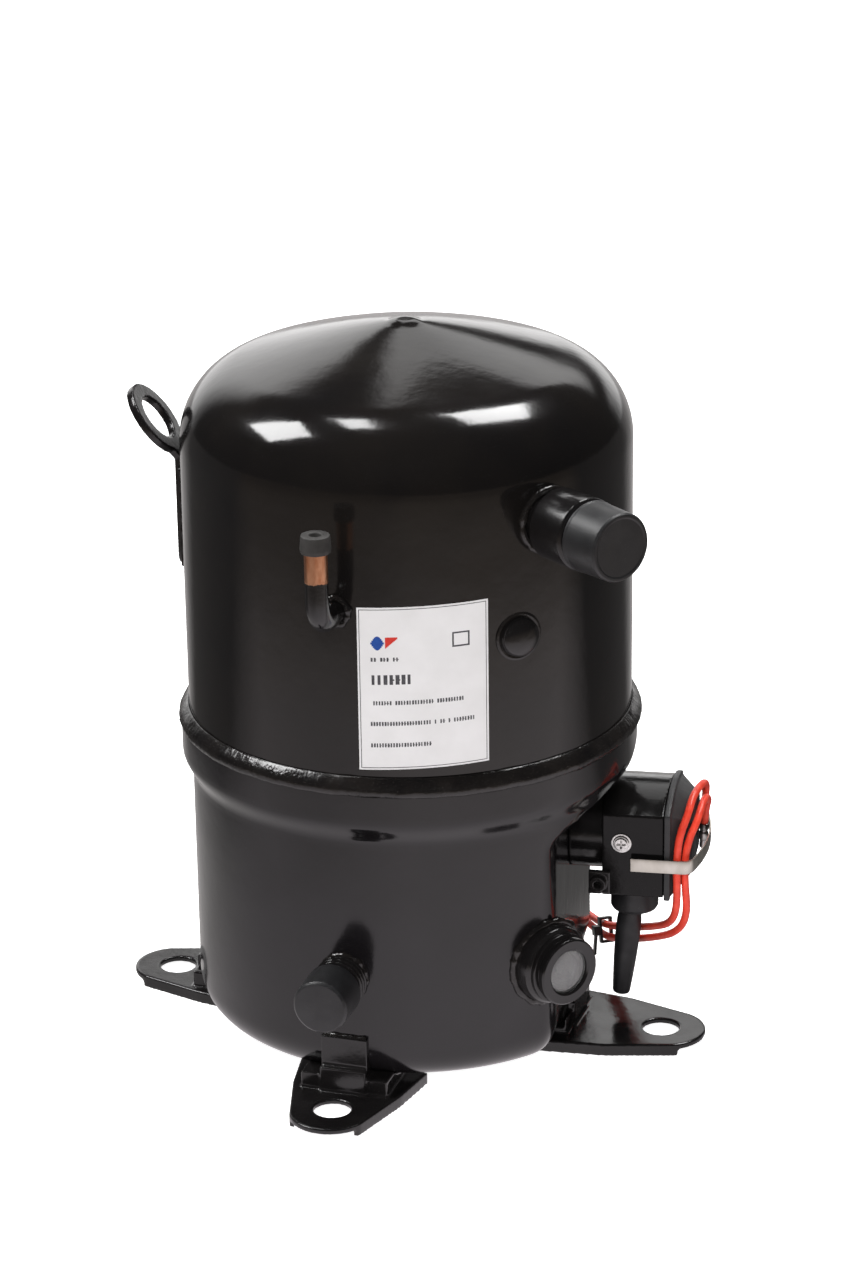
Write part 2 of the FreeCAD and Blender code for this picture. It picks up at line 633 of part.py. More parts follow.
def lead_tie():
    """Cable tie round the two leads."""
    a, b = V(*LEAD_A[5]), V(*LEAD_A[6])
    along = (b - a).normalize()
    middle = a * 0.35 + b * 0.65 - V(0, 0, 3.2)
    side = along.cross(V(0, 0, 1)).normalize()
    up = side.cross(along).normalize()

    def slab(half_side, half_up, half_long):
        corners = [middle + side * (i * half_side) + up * (j * half_up) - along * half_long
                   for i, j in ((-1, -1), (1, -1), (1, 1), (-1, 1))]
        return prism([tuple(c) for c in corners], tuple(along * (2 * half_long)))
    band = slab(3.6, 7.0, 2.2).cut(slab(2.35, 5.75, 3.0))
    head_at = middle + side * 3.6
    head = [head_at + along * (i * 3.0) + up * (j * 2.6) for i, j in ((-1, -1), (1, -1), (1, 1), (-1, 1))]
    head = prism([tuple(c) for c in head], tuple(side * 3.4))
    tail = [head_at + side * 1.2 + along * (i * 1.8) for i in (-1, 1)]
    tail = prism([tuple(tail[0]), tuple(tail[1]), tuple(tail[1] + side * 1.2),
                  tuple(tail[0] + side * 1.2)],
                 tuple(up * -13.0 + side * 2.0))
    return terminal(band.fuse([head, tail]))


# ================================================================ pump: fixed parts, in the pump's own frame
def pump(shape):
    return turn(shape, PUMP_TURN)


def crankcase():
    z = CYLINDER_Z
    body = block(-50, 50, -44, 44, BLOCK_BOTTOM_Z, BLOCK_TOP_Z)
    body = body.makeFillet(10, [e for e in body.Edges if abs(e.tangentAt(e.FirstParameter).z) > 0.9])
    barrel = cyl(26.0, (0, -VALVE_PLATE_Y, z), (0, 1, 0), 2 * VALVE_PLATE_Y)
    flanges = [block(-30, 30, y0, y1, z - 30, z + 30)
               for y0, y1 in ((-VALVE_PLATE_Y, -VALVE_PLATE_Y + 8), (VALVE_PLATE_Y - 8, VALVE_PLATE_Y))]
    neck = cyl(40.0, (0, 0, BLOCK_TOP_Z - 1), (0, 0, 1), DISC_Z - BLOCK_TOP_Z + 2)
    disc = cyl(82.0, (0, 0, DISC_Z), (0, 0, 1), 8.0)
    skirt = ring(82.0, 72.0, (0, 0, DISC_Z), (0, 0, 1), STACK_BOTTOM_Z - DISC_Z)
    seat = ring(82.0, STATOR_R, (0, 0, STACK_BOTTOM_Z - 0.01), (0, 0, 1), 12.0)
    boss = cyl(23.0, (0, 0, DISC_Z), (0, 0, 1), 34.0)
    lugs = [cyl(6.5, (*p, 165.0), (0, 0, 1), STACK_BOTTOM_Z - 165.0) for p in stator_bolt_places()]
    body = body.fuse([barrel, neck, disc, skirt, seat, boss] + flanges + lugs)
    windows = [turn(cyl(13.0, (60, 0, 168.0), (1, 0, 0), 40), h) for h in (0, 90, 180, 270)]
    vents = [turn(cyl(7.0, (58, 0, DISC_Z - 1), (0, 0, 1), 20), h) for h in (22, 112, 202, 292)]
    chamber = block(-40.5, 40.5, -33.5, 33.5, BLOCK_BOTTOM_Z - 1, 118.0)
    bores = cyl(BORE_R, (0, -80, z), (0, 1, 0), 160)
    journal = cyl(JOURNAL_R + RUNNING_GAP, (0, 0, 110), (0, 0, 1), 70)
    return pump(cut_each(body, [chamber, bores, journal] + windows + vents))


def stator_bolt_places():
    return [(70.0 * math.cos(a), 70.0 * math.sin(a)) for a in
            (math.radians(45 + 90 * i) for i in range(4))]


def lower_bearing():
    """Bottom plate with the outboard bearing and the upper spring pins."""
    plate = block(-58, 58, -52, 52, 58.0, BLOCK_BOTTOM_Z)
    plate = plate.makeFillet(12, [e for e in plate.Edges if abs(e.tangentAt(e.FirstParameter).z) > 0.9])
    boss = cyl(18.0, (0, 0, 46.0), (0, 0, 1), 14.0)
    pins = [cyl(7.0, (x, y, 45.0), (0, 0, 1), 14.0) for x, y in spring_places()]
    hole = cyl(LOWER_JOURNAL_R + RUNNING_GAP, (0, 0, 40), (0, 0, 1), 40)
    return pump(plate.fuse([boss] + pins).cut(hole))


def spring_places():
    return [(x, y) for x in (-SPRING_X, SPRING_X) for y in (-SPRING_Y, SPRING_Y)]


def spring_seats():
    """Pins welded to the shell's floor, which the springs stand on."""
    solids = []
    for x, y in spring_places():
        seat = cyl(13.0, (x, y, BASE_Z + WALL), (0, 0, 1), SPRING_BOTTOM_Z - BASE_Z - WALL)
        solids.append(seat.fuse(cyl(7.0, (x, y, BASE_Z + WALL), (0, 0, 1), 18.0)))
    return pump(Part.Compound(solids))


def suspension_springs():
    turns, height = 5, SPRING_TOP_Z - SPRING_BOTTOM_Z - 2 * SPRING_WIRE_R
    helix = Part.makeHelix(height / turns, height, SPRING_COIL_R)
    section = Part.Wire(Part.Circle(V(SPRING_COIL_R, 0, 0), V(0, 1, 0), SPRING_WIRE_R).toShape())
    coil = Part.Solid(Part.Wire(helix.Edges).makePipeShell([section], True, True).Shells[0])
    coils = []
    for x, y in spring_places():
        one = coil.copy()
        one.translate(V(x, y, SPRING_BOTTOM_Z + SPRING_WIRE_R + 0.2))
        coils.append(one)
    return pump(Part.Compound(coils))


def at_end(shape, end):
    """Parts are drawn at the cylinder end on -Y; end 1 is the same part at +Y."""
    out = shape.copy()
    if end:
        out.rotate(V(0, 0, 0), V(0, 0, 1), 180)
    return pump(out)


def bolt_corners():
    return [(x, CYLINDER_Z + z) for x in (-24, 24) for z in (-24, 24)]


def valve_plate(end):
    y = -VALVE_PLATE_Y - VALVE_PLATE_T
    plate = block(-30, 30, y, -VALVE_PLATE_Y, CYLINDER_Z - 30, CYLINDER_Z + 30)
    ports = [cyl(3.0, (x, y - 1, CYLINDER_Z + z), (0, 1, 0), 8) for x, z in
             ((13, 6), (13, -6), (9, 12), (9, -12))]
    ports.append(cyl(5.0, (-10, y - 1, CYLINDER_Z), (0, 1, 0), 8))
    holes = [cyl(3.2, (x, y - 1, z), (0, 1, 0), 8) for x, z in bolt_corners()]
    return at_end(cut_each(plate, ports + holes), end)


def valve_reeds():
    """A discharge reed with its stop outside each valve plate."""
    y = -VALVE_PLATE_Y - VALVE_PLATE_T
    solids = []
    for end in (0, 1):
        reed = block(-17.0, -3.0, y - 0.4, y, CYLINDER_Z - 14, CYLINDER_Z + 6.5)
        stop = block(-16.0, -4.0, y - 2.4, y - 0.8, CYLINDER_Z - 14, CYLINDER_Z + 6.0)
        foot_block = block(-16.0, -4.0, y - 0.8, y - 0.4, CYLINDER_Z - 14, CYLINDER_Z - 9)
        solids += [at_end(reed.fuse([stop, foot_block]), end)]
    return Part.Compound(solids)


def cylinder_head(end):
    y0, y1 = -HEAD_END_Y, -VALVE_PLATE_Y - VALVE_PLATE_T
    z = CYLINDER_Z
    body = block(-30, 30, y0, y1, z - 30, z + 30)
    body = body.makeFillet(6, [e for e in body.Edges if abs(e.tangentAt(e.FirstParameter).y) > 0.9])
    suction = block(1, 21, y0 + 5, y1 + 1, z - 17, z + 17)
    discharge = block(-21, -1, y0 + 5, y1 + 1, z - 17, z + 17)
    holes = [cyl(3.2, (x, y0 - 1, hz), (0, 1, 0), 40) for x, hz in bolt_corners()]
    outlet = cyl(4.0, (-8, (y0 + y1) / 2, z), (-1, 0, 0), 30)
    inlet = cyl(6.0, (12, (y0 + y1) / 2, z), (0, 0, 1), 40)
    return at_end(cut_each(body, [suction, discharge, outlet, inlet] + holes), end)


def head_bolts():
    solids = []
    y0, y1 = -HEAD_END_Y, -VALVE_PLATE_Y
    for end in (0, 1):
        for x, z in bolt_corners():
            shank = cyl(3.1, (x, y0 - 1, z), (0, 1, 0), y1 - y0 + 1)
            solids.append(at_end(shank.fuse(cyl(5.0, (x, y0, z), (0, -1, 0), 4.0)), end))
    return Part.Compound(solids)


def stator_core():
    """Laminated stator with slots open to the bore."""
    height = STACK_TOP_Z - STACK_BOTTOM_Z
    body = ring(STATOR_R, STATOR_BORE_R, (0, 0, STACK_BOTTOM_Z), (0, 0, 1), height)
    slots = [turn(block(STATOR_BORE_R - 1, 60, -2.6, 2.6, STACK_BOTTOM_Z - 1, STACK_TOP_Z + 1), 15 * i)
             for i in range(24)]
    holes = [cyl(3.1, (*p, STACK_BOTTOM_Z - 1), (0, 0, 1), height + 2) for p in stator_bolt_places()]
    return pump(cut_each(body, slots + holes))


def stator_windings():
    """Coil bars in the slots and the two bundled end turns."""
    height = STACK_TOP_Z - STACK_BOTTOM_Z
    bars = [turn(block(46.0, 59.5, -2.3, 2.3, STACK_BOTTOM_Z - 2, STACK_TOP_Z + 2), 15 * i)
            for i in range(24)]
    ends = []
    for z, up in ((STACK_TOP_Z + 0.5, 1), (STACK_BOTTOM_Z - 0.5, -1)):
        ends.append(turned([(45.5, z), (60.0, z), (60.8, z + up * 8), ((58.5, z + up * 19),
                            (52.0, z + up * 24)), ((45.5, z + up * 17), (45.5, z))]))
    return pump(ends[0].fuse([ends[1]] + bars))


def stator_bolts():
    height = STACK_TOP_Z - STACK_BOTTOM_Z
    return pump(Part.Compound([
        cyl(3.0, (*p, STACK_BOTTOM_Z), (0, 0, 1), height).fuse(
            cyl(5.0, (*p, STACK_TOP_Z), (0, 0, 1), 4.0)) for p in stator_bolt_places()]))


def motor_cap():
    """Pressed cap over the motor, with gas holes and the snubber's seat."""
    z0, top = 271.0, 322.0
    outer = turned([(0, z0), (77.4, z0), (77.4, top), ((73.5, top + 8), (62, top + 11)),
                    (0, top + 13)])
    inner = turned([(0, z0), (STATOR_R, z0), (STATOR_R, top - 1), ((71.5, top + 5.4),
                    (61.6, top + 8.6)), (0, top + 10.6)])
    holes = [turn(cyl(6.0, (40, 0, top), (0, 0, 1), 20), 60 * i) for i in range(6)]
    return pump(cut_each(outer.cut(inner), holes))


def top_snubber():
    """Rubber stop between the motor cap and the dome."""
    return turned([(0, 335.0), (16, 335.0), (14, 350.0), cap_arc(14, 350.0, 10.0)])


def discharge_loop():
    """Bent steel tube that carries hot gas from the front head to the shell's outlet."""
    c, s = math.cos(math.radians(PUMP_TURN)), math.sin(math.radians(PUMP_TURN))

    def row(x, y, z):
        return (x * c - y * s, x * s + y * c, z)
    start = row(*LOOP_START, CYLINDER_Z)
    points = [start] + [tuple(p) for p in LOOP_POINTS] + [(0.0, -105.6, DISCHARGE_Z)]
    return pipe(points, LOOP_R, "discharge_loop")


# ================================================================ pump: moving parts
def crankshaft():
    e = ECCENTRIC
    z_pin0, z_pin1 = CYLINDER_Z - 14.0, CYLINDER_Z + 14.0
    body = cyl(JOURNAL_R, (0, 0, 117.0), (0, 0, 1), 178.0)
    upper_web = cyl(25.0, (4, 0, z_pin1), (0, 0, 1), 117.0 - z_pin1)
    crank_pin = cyl(PIN_R, (e, 0, z_pin0), (0, 0, 1), z_pin1 - z_pin0)
    lower_web = cyl(24.0, (4, 0, 68.0), (0, 0, 1), z_pin0 - 68.0)
    lower = cyl(LOWER_JOURNAL_R, (0, 0, 40.0), (0, 0, 1), 28.0)
    gallery = cyl(GALLERY_R, (e / 2, 0, 289.0), (0, 0, 1), 10.0)
    return pump(body.fuse([upper_web, crank_pin, lower_web, lower]).cut(gallery))




def gallery_plug():
    """Small round plug in the oil gallery's upper end."""
    return pump(cyl(GALLERY_R - RUNNING_GAP, (ECCENTRIC / 2, 0, 289.3), (0, 0, 1), 5.0))


def oil_pickup():
    body = turned([(3.0, 22.0), (5.0, 22.0), (9.0, 34.0), (9.0, 39.9), (4.0, 39.9), (3.0, 36.0)])
    return pump(body)


def rotor():
    """Laminated core with cast end rings; the lower ring has short fan blades."""
    solids = [ring(ROTOR_R, JOURNAL_R, (0, 0, STACK_BOTTOM_Z), (0, 0, 1),
                   STACK_TOP_Z - STACK_BOTTOM_Z)]
    for z, up in ((STACK_TOP_Z, 1), (STACK_BOTTOM_Z, -1)):
        base = z if up > 0 else z - 8.0
        body = ring(40.0, 27.0, (0, 0, base), (0, 0, 1), 8.0)
        z0 = z + 7.9 if up > 0 else z - 12.9
        if up < 0:
            blades = [turn(block(29, 38, -1.2, 1.2, z0, z0 + 5.0), 30 * i) for i in range(12)]
            body = body.fuse(blades)
        solids.append(body)
    return pump(Part.Compound(solids))


def counterweight():
    z = STACK_TOP_Z + 8.0
    body = ring(39.0, 20.0, (0, 0, z), (0, 0, 1), 10.0)
    return pump(body.common(block(-45, 0, -45, 45, z - 1, z + 20)))


def slide_block():
    e = ECCENTRIC
    body = block(e - 17, e + 17, -12, 12, CYLINDER_Z - 12.8, CYLINDER_Z + 12.8)
    return pump(body.cut(cyl(PIN_R + RUNNING_GAP, (e, 0, 60), (0, 0, 1), 60)))


def yoke():
    half_y, z = 19.0, CYLINDER_Z
    body = block(-37.5, 37.5, -half_y, half_y, z - 12.5, z + 12.5)
    body = body.makeFillet(6, [e for e in body.Edges if abs(e.tangentAt(e.FirstParameter).z) > 0.9])
    necks = cyl(9.0, (0, -NECK_Y, z), (0, 1, 0), 2 * NECK_Y)
    slot = block(-31, 31, -12 - RUNNING_GAP, 12 + RUNNING_GAP, z - 20, z + 20)
    return pump(body.fuse(necks).cut(slot))


def piston(end):
    """Piston with two ring grooves; it is pushed onto the yoke's neck."""
    y1, y0 = -SKIRT_Y, -CROWN_Y
    z, r = CYLINDER_Z, BORE_R - RUNNING_GAP
    body = cyl(r, (0, y0, z), (0, 1, 0), y1 - y0)
    grooves = [ring(r + 1, r - 2.2, (0, y, z), (0, 1, 0), 2.0) for y in ring_places()]
    socket = cyl(9.0, (0, -NECK_Y, z), (0, 1, 0), 20)
    hollow = ring(17.5, 12.5, (0, -NECK_Y, z), (0, 1, 0), 20)
    return at_end(cut_each(body, grooves + [socket, hollow]), end)


def ring_places():
    return (-CROWN_Y + 4.0, -CROWN_Y + 9.0)


def piston_rings():
    r = BORE_R - RUNNING_GAP
    solids = []
    for end in (0, 1):
        for y in ring_places():
            one = ring(r, r - 2.0, (0, y + 0.1, CYLINDER_Z), (0, 1, 0), 1.8)
            gap = block(-0.5, 0.5, y - 1, y + 3, CYLINDER_Z + r - 4, CYLINDER_Z + r + 2)
            solids.append(at_end(one.cut(gap), end))
    return Part.Compound(solids)


# ================================================================ build
def build():
    fill = lower_fill()
    nodes = {
        "lower_shell": lower_shell(fill), "upper_shell": upper_shell(), "girth_weld": girth_weld(),
        "lifting_eye": lifting_eye(), "process_tube": process_tube(), "process_plug": process_plug(),
        "suction_adapter": suction_adapter(), "suction_cap": suction_cap(),
        "discharge_stub": discharge_stub(), "discharge_cap": discharge_cap(),
        "sight_glass_boss": sight_glass_boss(fill), "sight_glass_ring": sight_glass_ring(),
        "sight_glass_lens": sight_glass_lens(), "fusible_plug": fusible_plug(),
        "nameplate": nameplate(), "terminal_fence": terminal_fence(),
        "terminal_header": terminal_header(),
        "terminal_box": terminal_box(), "terminal_cover": terminal_cover(),
        "cover_strap": cover_strap(), "box_screw": box_screw(),
        "earth_lug": earth_lug(), "gland_collar": gland_collar(), "cable_sleeve": cable_sleeve(),
        "heater_well": heater_well(), "heater_element": heater_element(),
        "lead_a": lead(LEAD_A, "lead_a"), "lead_b": lead(LEAD_B, "lead_b"),
        "lead_ends": lead_ends(), "lead_tie": lead_tie(), "spring_seats": spring_seats(),
        "crankcase": crankcase(), "lower_bearing": lower_bearing(),
        "suspension_springs": suspension_springs(),
        "valve_plate_front": valve_plate(0), "valve_plate_rear": valve_plate(1),
        "valve_reeds": valve_reeds(), "cylinder_head_front": cylinder_head(0),
        "cylinder_head_rear": cylinder_head(1), "head_bolts": head_bolts(),
        "stator_core": stator_core(), "stator_windings": stator_windings(),
        "stator_bolts": stator_bolts(), "motor_cap": motor_cap(), "top_snubber": top_snubber(),
        "discharge_loop": discharge_loop(), "crankshaft": crankshaft(),
        "gallery_plug": gallery_plug(), "oil_pickup": oil_pickup(), "rotor": rotor(),
        "counterweight": counterweight(),
        "slide_block": slide_block(), "yoke": yoke(), "piston_front": piston(0),
        "piston_rear": piston(1), "piston_rings": piston_rings(),
    }
    nodes.update(feet(fill))
    os.makedirs("parts", exist_ok=True)
    for name, shape in nodes.items():
        if not shape.isValid():
            print("not valid:", name)
        shape.exportStep("parts/%s.step" % name)
    print(len(nodes), "nodes")


build()
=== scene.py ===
"""Hermetic piston compressor: the visual model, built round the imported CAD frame.

Lengths are in millimetres, as in the CAD; raw_mesh turns them into metres. Materials, lights and the camera
are in metres.
"""
import json
import math
import random

import bmesh
import bpy
from mathutils import Matrix, Vector, noise

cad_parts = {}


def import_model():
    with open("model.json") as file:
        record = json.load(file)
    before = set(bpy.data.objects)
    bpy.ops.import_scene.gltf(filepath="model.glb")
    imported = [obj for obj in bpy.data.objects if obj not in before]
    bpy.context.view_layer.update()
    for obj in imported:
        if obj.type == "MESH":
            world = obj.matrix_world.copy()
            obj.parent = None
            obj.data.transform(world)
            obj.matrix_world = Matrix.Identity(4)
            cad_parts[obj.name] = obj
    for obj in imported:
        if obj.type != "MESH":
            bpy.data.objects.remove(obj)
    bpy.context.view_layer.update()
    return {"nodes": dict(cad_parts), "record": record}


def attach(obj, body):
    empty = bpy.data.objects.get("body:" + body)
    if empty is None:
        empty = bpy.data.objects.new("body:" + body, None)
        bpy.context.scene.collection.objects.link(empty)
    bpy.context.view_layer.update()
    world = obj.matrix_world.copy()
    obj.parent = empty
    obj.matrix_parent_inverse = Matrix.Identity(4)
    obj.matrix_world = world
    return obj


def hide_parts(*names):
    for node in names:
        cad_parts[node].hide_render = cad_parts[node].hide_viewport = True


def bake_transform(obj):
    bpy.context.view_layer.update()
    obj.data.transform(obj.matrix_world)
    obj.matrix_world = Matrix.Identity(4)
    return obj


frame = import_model()

MM = 0.001
TAU = 2 * math.pi


def heading(degrees):
    """Turns +X to a compass direction about the object's axis."""
    return Matrix.Rotation(math.radians(degrees), 4, "Z")


# Headings of the fittings, in degrees
BOX, PORT, FRONT, PLUG, LABEL, EYE, HEATER = 8.0, -35.0, -90.0, -44.0, -68.4, -172.0, 105.0
TERMINAL = heading(BOX)
# The shells: outside radii, wall, and the flat under the terminal box
UPPER_R, LOWER_R, LIP_R, WALL = 114.0, 113.0, 118.0, 4.0
SKIRT_Z, SHOULDER_Z, FLAT_X, FLARE_Z = 156.0, 318.0, 85.0, 142.0
# Heights of the fittings
SUCTION_Z, DISCHARGE_Z, SIGHT_Z, PROCESS_Z, PLUG_Z, HEADER_Z = 303.0, 69.0, 68.0, 264.0, 247.0, 110.0
HEATER_Z, LABEL_Z, STRAP_Z = 43.0, 226.0, 103.7
# The strap's legs stand this far to each side, and it hinges here
STRAP_SIDE, HINGE_X = 33.2, 133.0
# Two level directions for the studio: away from the camera, and to its right
AWAY, RIGHTWARD = (-0.314, 0.949, 0.0), (0.949, 0.314, 0.0)


# ---------------------------------------------------------------- materials
class Nodes:
    """A small builder for node materials."""

    def __init__(self, name):
        self.material = bpy.data.materials.new(name)
        self.material.use_nodes = True
        self.tree = self.material.node_tree
        self.shader = self.tree.nodes["Principled BSDF"]

    def add(self, kind, settings=None, **inputs):
        node = self.tree.nodes.new(kind)
        for key, value in (settings or {}).items():
            setattr(node, key, value)
        for key, value in inputs.items():
            self.put(node, key, value)
        return node

    def put(self, node, key, value):
        """Sets or links one input, given by its label, or by its number as in i3."""
        numbered = key[0] == "i" and key[1:].isdigit()
        socket = node.inputs[int(key[1:]) if numbered else key.replace("_", " ")]
        if isinstance(value, bpy.types.NodeSocket):
            self.tree.links.new(value, socket)
        else:
            socket.default_value = value

    def where(self, stretch=(1, 1, 1)):
        place = self.add("ShaderNodeTexCoord").outputs["Object"]
        return self.add("ShaderNodeMapping", Vector=place, Scale=stretch).outputs["Vector"]

    def noise(self, scale, stretch=(1, 1, 1), detail=3.0, rough=0.55, distortion=0.0):
        return self.add("ShaderNodeTexNoise", Vector=self.where(stretch), Scale=scale, Detail=detail,
                        Roughness=rough, Distortion=distortion).outputs["Fac"]

    def ramp(self, value, low, high, start=0.3, end=0.7):
        node = self.add("ShaderNodeValToRGB", i0=value)
        for element, at, colour in zip(node.color_ramp.elements, (start, end), (low, high)):
            element.position = at
            element.color = (*colour, 1.0)
        return node.outputs["Color"]

    def spread(self, value, low, high, start=0.3, end=0.7):
        return self.add("ShaderNodeMapRange", Value=value, i1=start, i2=end, i3=low, i4=high).outputs["Result"]

    def math(self, operation, a, b=0.0):
        return self.add("ShaderNodeMath", {"operation": operation}, i0=a, i1=b).outputs["Value"]

    def along(self, place, direction):
        """How far a place lies in a fixed direction."""
        dot = self.add("ShaderNodeVectorMath", {"operation": "DOT_PRODUCT"}, i0=place, i1=direction)
        return dot.outputs["Value"]

    def mix(self, factor, a, b):
        return self.add("ShaderNodeMix", {"data_type": "RGBA"}, i0=factor, i6=a, i7=b).outputs[2]

    def bump(self, height, distance, strength=1.0, below=None):
        node = self.add("ShaderNodeBump", Height=height, Distance=distance, Strength=strength)
        if below is not None:
            self.put(node, "Normal", below)
        return node.outputs["Normal"]


MATERIAL = {}


def surface(name, dark, light, patch, rough, bumps, metallic=0.0, rough_patch=None,
            specular=0.5, stretch=(1, 1, 1), specks=None):
    """A material whose colour, roughness and relief all vary. bumps: (scale, stretch, millimetres)."""
    m = Nodes(name)
    colour = m.ramp(m.noise(patch, stretch), dark, light)
    if specks:
        share, speck_colour, size = specks
        dots = m.spread(m.noise(size, detail=2.0), 0.0, 1.0, 1.0 - share, 1.03 - share)
        colour = m.mix(dots, colour, (*speck_colour, 1.0))
    m.put(m.shader, "Base_Color", colour)
    m.put(m.shader, "Metallic", metallic)
    m.put(m.shader, "Specular_IOR_Level", specular)
    m.put(m.shader, "Roughness", m.spread(m.noise(rough_patch or patch * 1.7, stretch), *rough))
    normal = None
    for scale, direction, depth in bumps:
        normal = m.bump(m.noise(scale, direction, detail=2.5), depth * MM, below=normal)
    if normal is not None:
        m.put(m.shader, "Normal", normal)
    MATERIAL[name] = m.material


ALL = (1, 1, 1)
FLAT_STREAKS = (0.03, 0.03, 1.0)
INK = (0.0055, 0.005, 0.0052)
# Fine pale specks in the black paint: their share of the area, colour and scale
GRAIN = (0.27, (0.05, 0.05, 0.05), 2600.0)


def paints():
    """Makes every material."""
    surface("upper_paint", INK, (0.010, 0.0085, 0.0075), 14.0, (0.09, 0.16),
        bumps=[(260.0, ALL, 0.035), (1500.0, FLAT_STREAKS, 0.003), (30.0, ALL, 0.25)],
        specks=GRAIN)
    surface("lower_paint", INK, (0.009, 0.008, 0.009), 17.0, (0.10, 0.18),
        bumps=[(280.0, ALL, 0.035), (34.0, ALL, 0.25)],
        specks=GRAIN)
    surface("fitting_paint", INK, (0.011, 0.010, 0.010), 40.0, (0.10, 0.24),
        bumps=[(420.0, ALL, 0.05), (90.0, ALL, 0.12)], specks=(0.27, (0.06, 0.06, 0.06), 2600.0))
    surface("box_paint", (0.004, 0.0036, 0.0037), (0.007, 0.0065, 0.0065), 40.0, (0.07, 0.20),
        bumps=[(420.0, ALL, 0.05), (60.0, ALL, 0.2)], specular=0.2, specks=GRAIN)
    surface("weld_paint", INK, (0.014, 0.012, 0.011), 60.0, (0.09, 0.30),
        bumps=[(700.0, ALL, 0.12), (190.0, ALL, 0.25)], specks=(0.30, (0.10, 0.09, 0.08), 2200.0))
    surface("cap_plastic", (0.010, 0.010, 0.011), (0.020, 0.020, 0.021), 60.0, (0.36, 0.50),
        bumps=[(1400.0, ALL, 0.02), (160.0, ALL, 0.06)], specks=(0.30, (0.05, 0.05, 0.05), 1500.0))
    surface("cover_plastic", (0.020, 0.020, 0.021), (0.033, 0.033, 0.034), 70.0, (0.45, 0.62),
        bumps=[(2200.0, ALL, 0.03), (120.0, ALL, 0.08)])
    surface("sleeve_rubber", (0.009, 0.009, 0.010), (0.019, 0.019, 0.020), 80.0, (0.38, 0.56),
        bumps=[(1800.0, ALL, 0.03)], specks=(0.30, (0.04, 0.04, 0.04), 1800.0))
    surface("plug_rubber", (0.026, 0.025, 0.024), (0.044, 0.042, 0.040), 150.0, (0.50, 0.68),
        bumps=[(1900.0, ALL, 0.04)])
    surface("nickel", (0.52, 0.50, 0.44), (0.68, 0.66, 0.60), 120.0, (0.26, 0.38), metallic=1.0,
        bumps=[(900.0, (1, 1, 0.06), 0.012)], stretch=(1, 1, 0.4))
    surface("zinc", (0.62, 0.62, 0.60), (0.82, 0.82, 0.80), 700.0, (0.20, 0.36), metallic=1.0,
        bumps=[(2500.0, ALL, 0.03)])
    surface("red_silicone", (0.80, 0.050, 0.026), (0.95, 0.085, 0.045), 240.0, (0.34, 0.46),
        bumps=[(2600.0, ALL, 0.05), (500.0, ALL, 0.05)])
    surface("tie_nylon", (0.010, 0.010, 0.010), (0.02, 0.02, 0.02), 200.0, (0.3, 0.42),
        bumps=[(1200.0, ALL, 0.03)])
    surface("label_film", (0.80, 0.80, 0.80), (0.86, 0.86, 0.865), 60.0, (0.34, 0.44),
        bumps=[(900.0, ALL, 0.006), (45.0, ALL, 0.05)])
    surface("label_ink", (0.045, 0.045, 0.05), (0.09, 0.09, 0.10), 900.0, (0.38, 0.48),
        bumps=[(900.0, ALL, 0.004)])
    surface("label_blue", (0.010, 0.06, 0.30), (0.014, 0.08, 0.36), 500.0, (0.36, 0.46),
        bumps=[(900.0, ALL, 0.004)])
    surface("label_red", (0.60, 0.03, 0.02), (0.70, 0.045, 0.03), 500.0, (0.36, 0.46),
        bumps=[(900.0, ALL, 0.004)])
    surface("bright_steel", (0.40, 0.40, 0.41), (0.56, 0.56, 0.57), 90.0, (0.22, 0.40), metallic=1.0,
        bumps=[(1600.0, ALL, 0.02)])
    surface("spring_steel", (0.20, 0.19, 0.19), (0.34, 0.33, 0.33), 160.0, (0.25, 0.42), metallic=1.0,
        bumps=[(1500.0, ALL, 0.02)])
    surface("grey_iron", (0.11, 0.11, 0.115), (0.20, 0.20, 0.205), 110.0, (0.45, 0.68), metallic=0.7,
        bumps=[(900.0, ALL, 0.20), (150.0, ALL, 0.2)])
    surface("forged_steel", (0.42, 0.42, 0.43), (0.58, 0.58, 0.59), 70.0, (0.16, 0.34), metallic=1.0,
        bumps=[(1300.0, (0.1, 0.1, 1), 0.02)])
    surface("lamination", (0.13, 0.13, 0.14), (0.24, 0.24, 0.25), 1900.0, (0.34, 0.52), metallic=0.9,
        bumps=[(2000.0, (0.02, 0.02, 1), 0.20)], stretch=(0.02, 0.02, 1))
    surface("winding_copper", (0.30, 0.09, 0.03), (0.56, 0.21, 0.08), 420.0, (0.22, 0.40), metallic=0.8,
        bumps=[(700.0, (1, 1, 0.4), 0.35)])
    surface("cast_aluminium", (0.55, 0.55, 0.56), (0.72, 0.72, 0.73), 130.0, (0.28, 0.46), metallic=1.0,
        bumps=[(1100.0, ALL, 0.04)])
    surface("header_steel", (0.36, 0.36, 0.35), (0.50, 0.50, 0.48), 260.0, (0.28, 0.44), metallic=1.0,
        bumps=[(1200.0, ALL, 0.03)])
    surface("heater_metal", (0.40, 0.40, 0.40), (0.55, 0.55, 0.56), 150.0, (0.30, 0.48), metallic=1.0,
        bumps=[(1300.0, ALL, 0.03)])
    copper_tube()
    glass()
    surface("sight_target", (0.055, 0.055, 0.055), (0.12, 0.12, 0.12), 330.0, (0.30, 0.55), metallic=0.3,
        bumps=[(500.0, ALL, 0.25)])


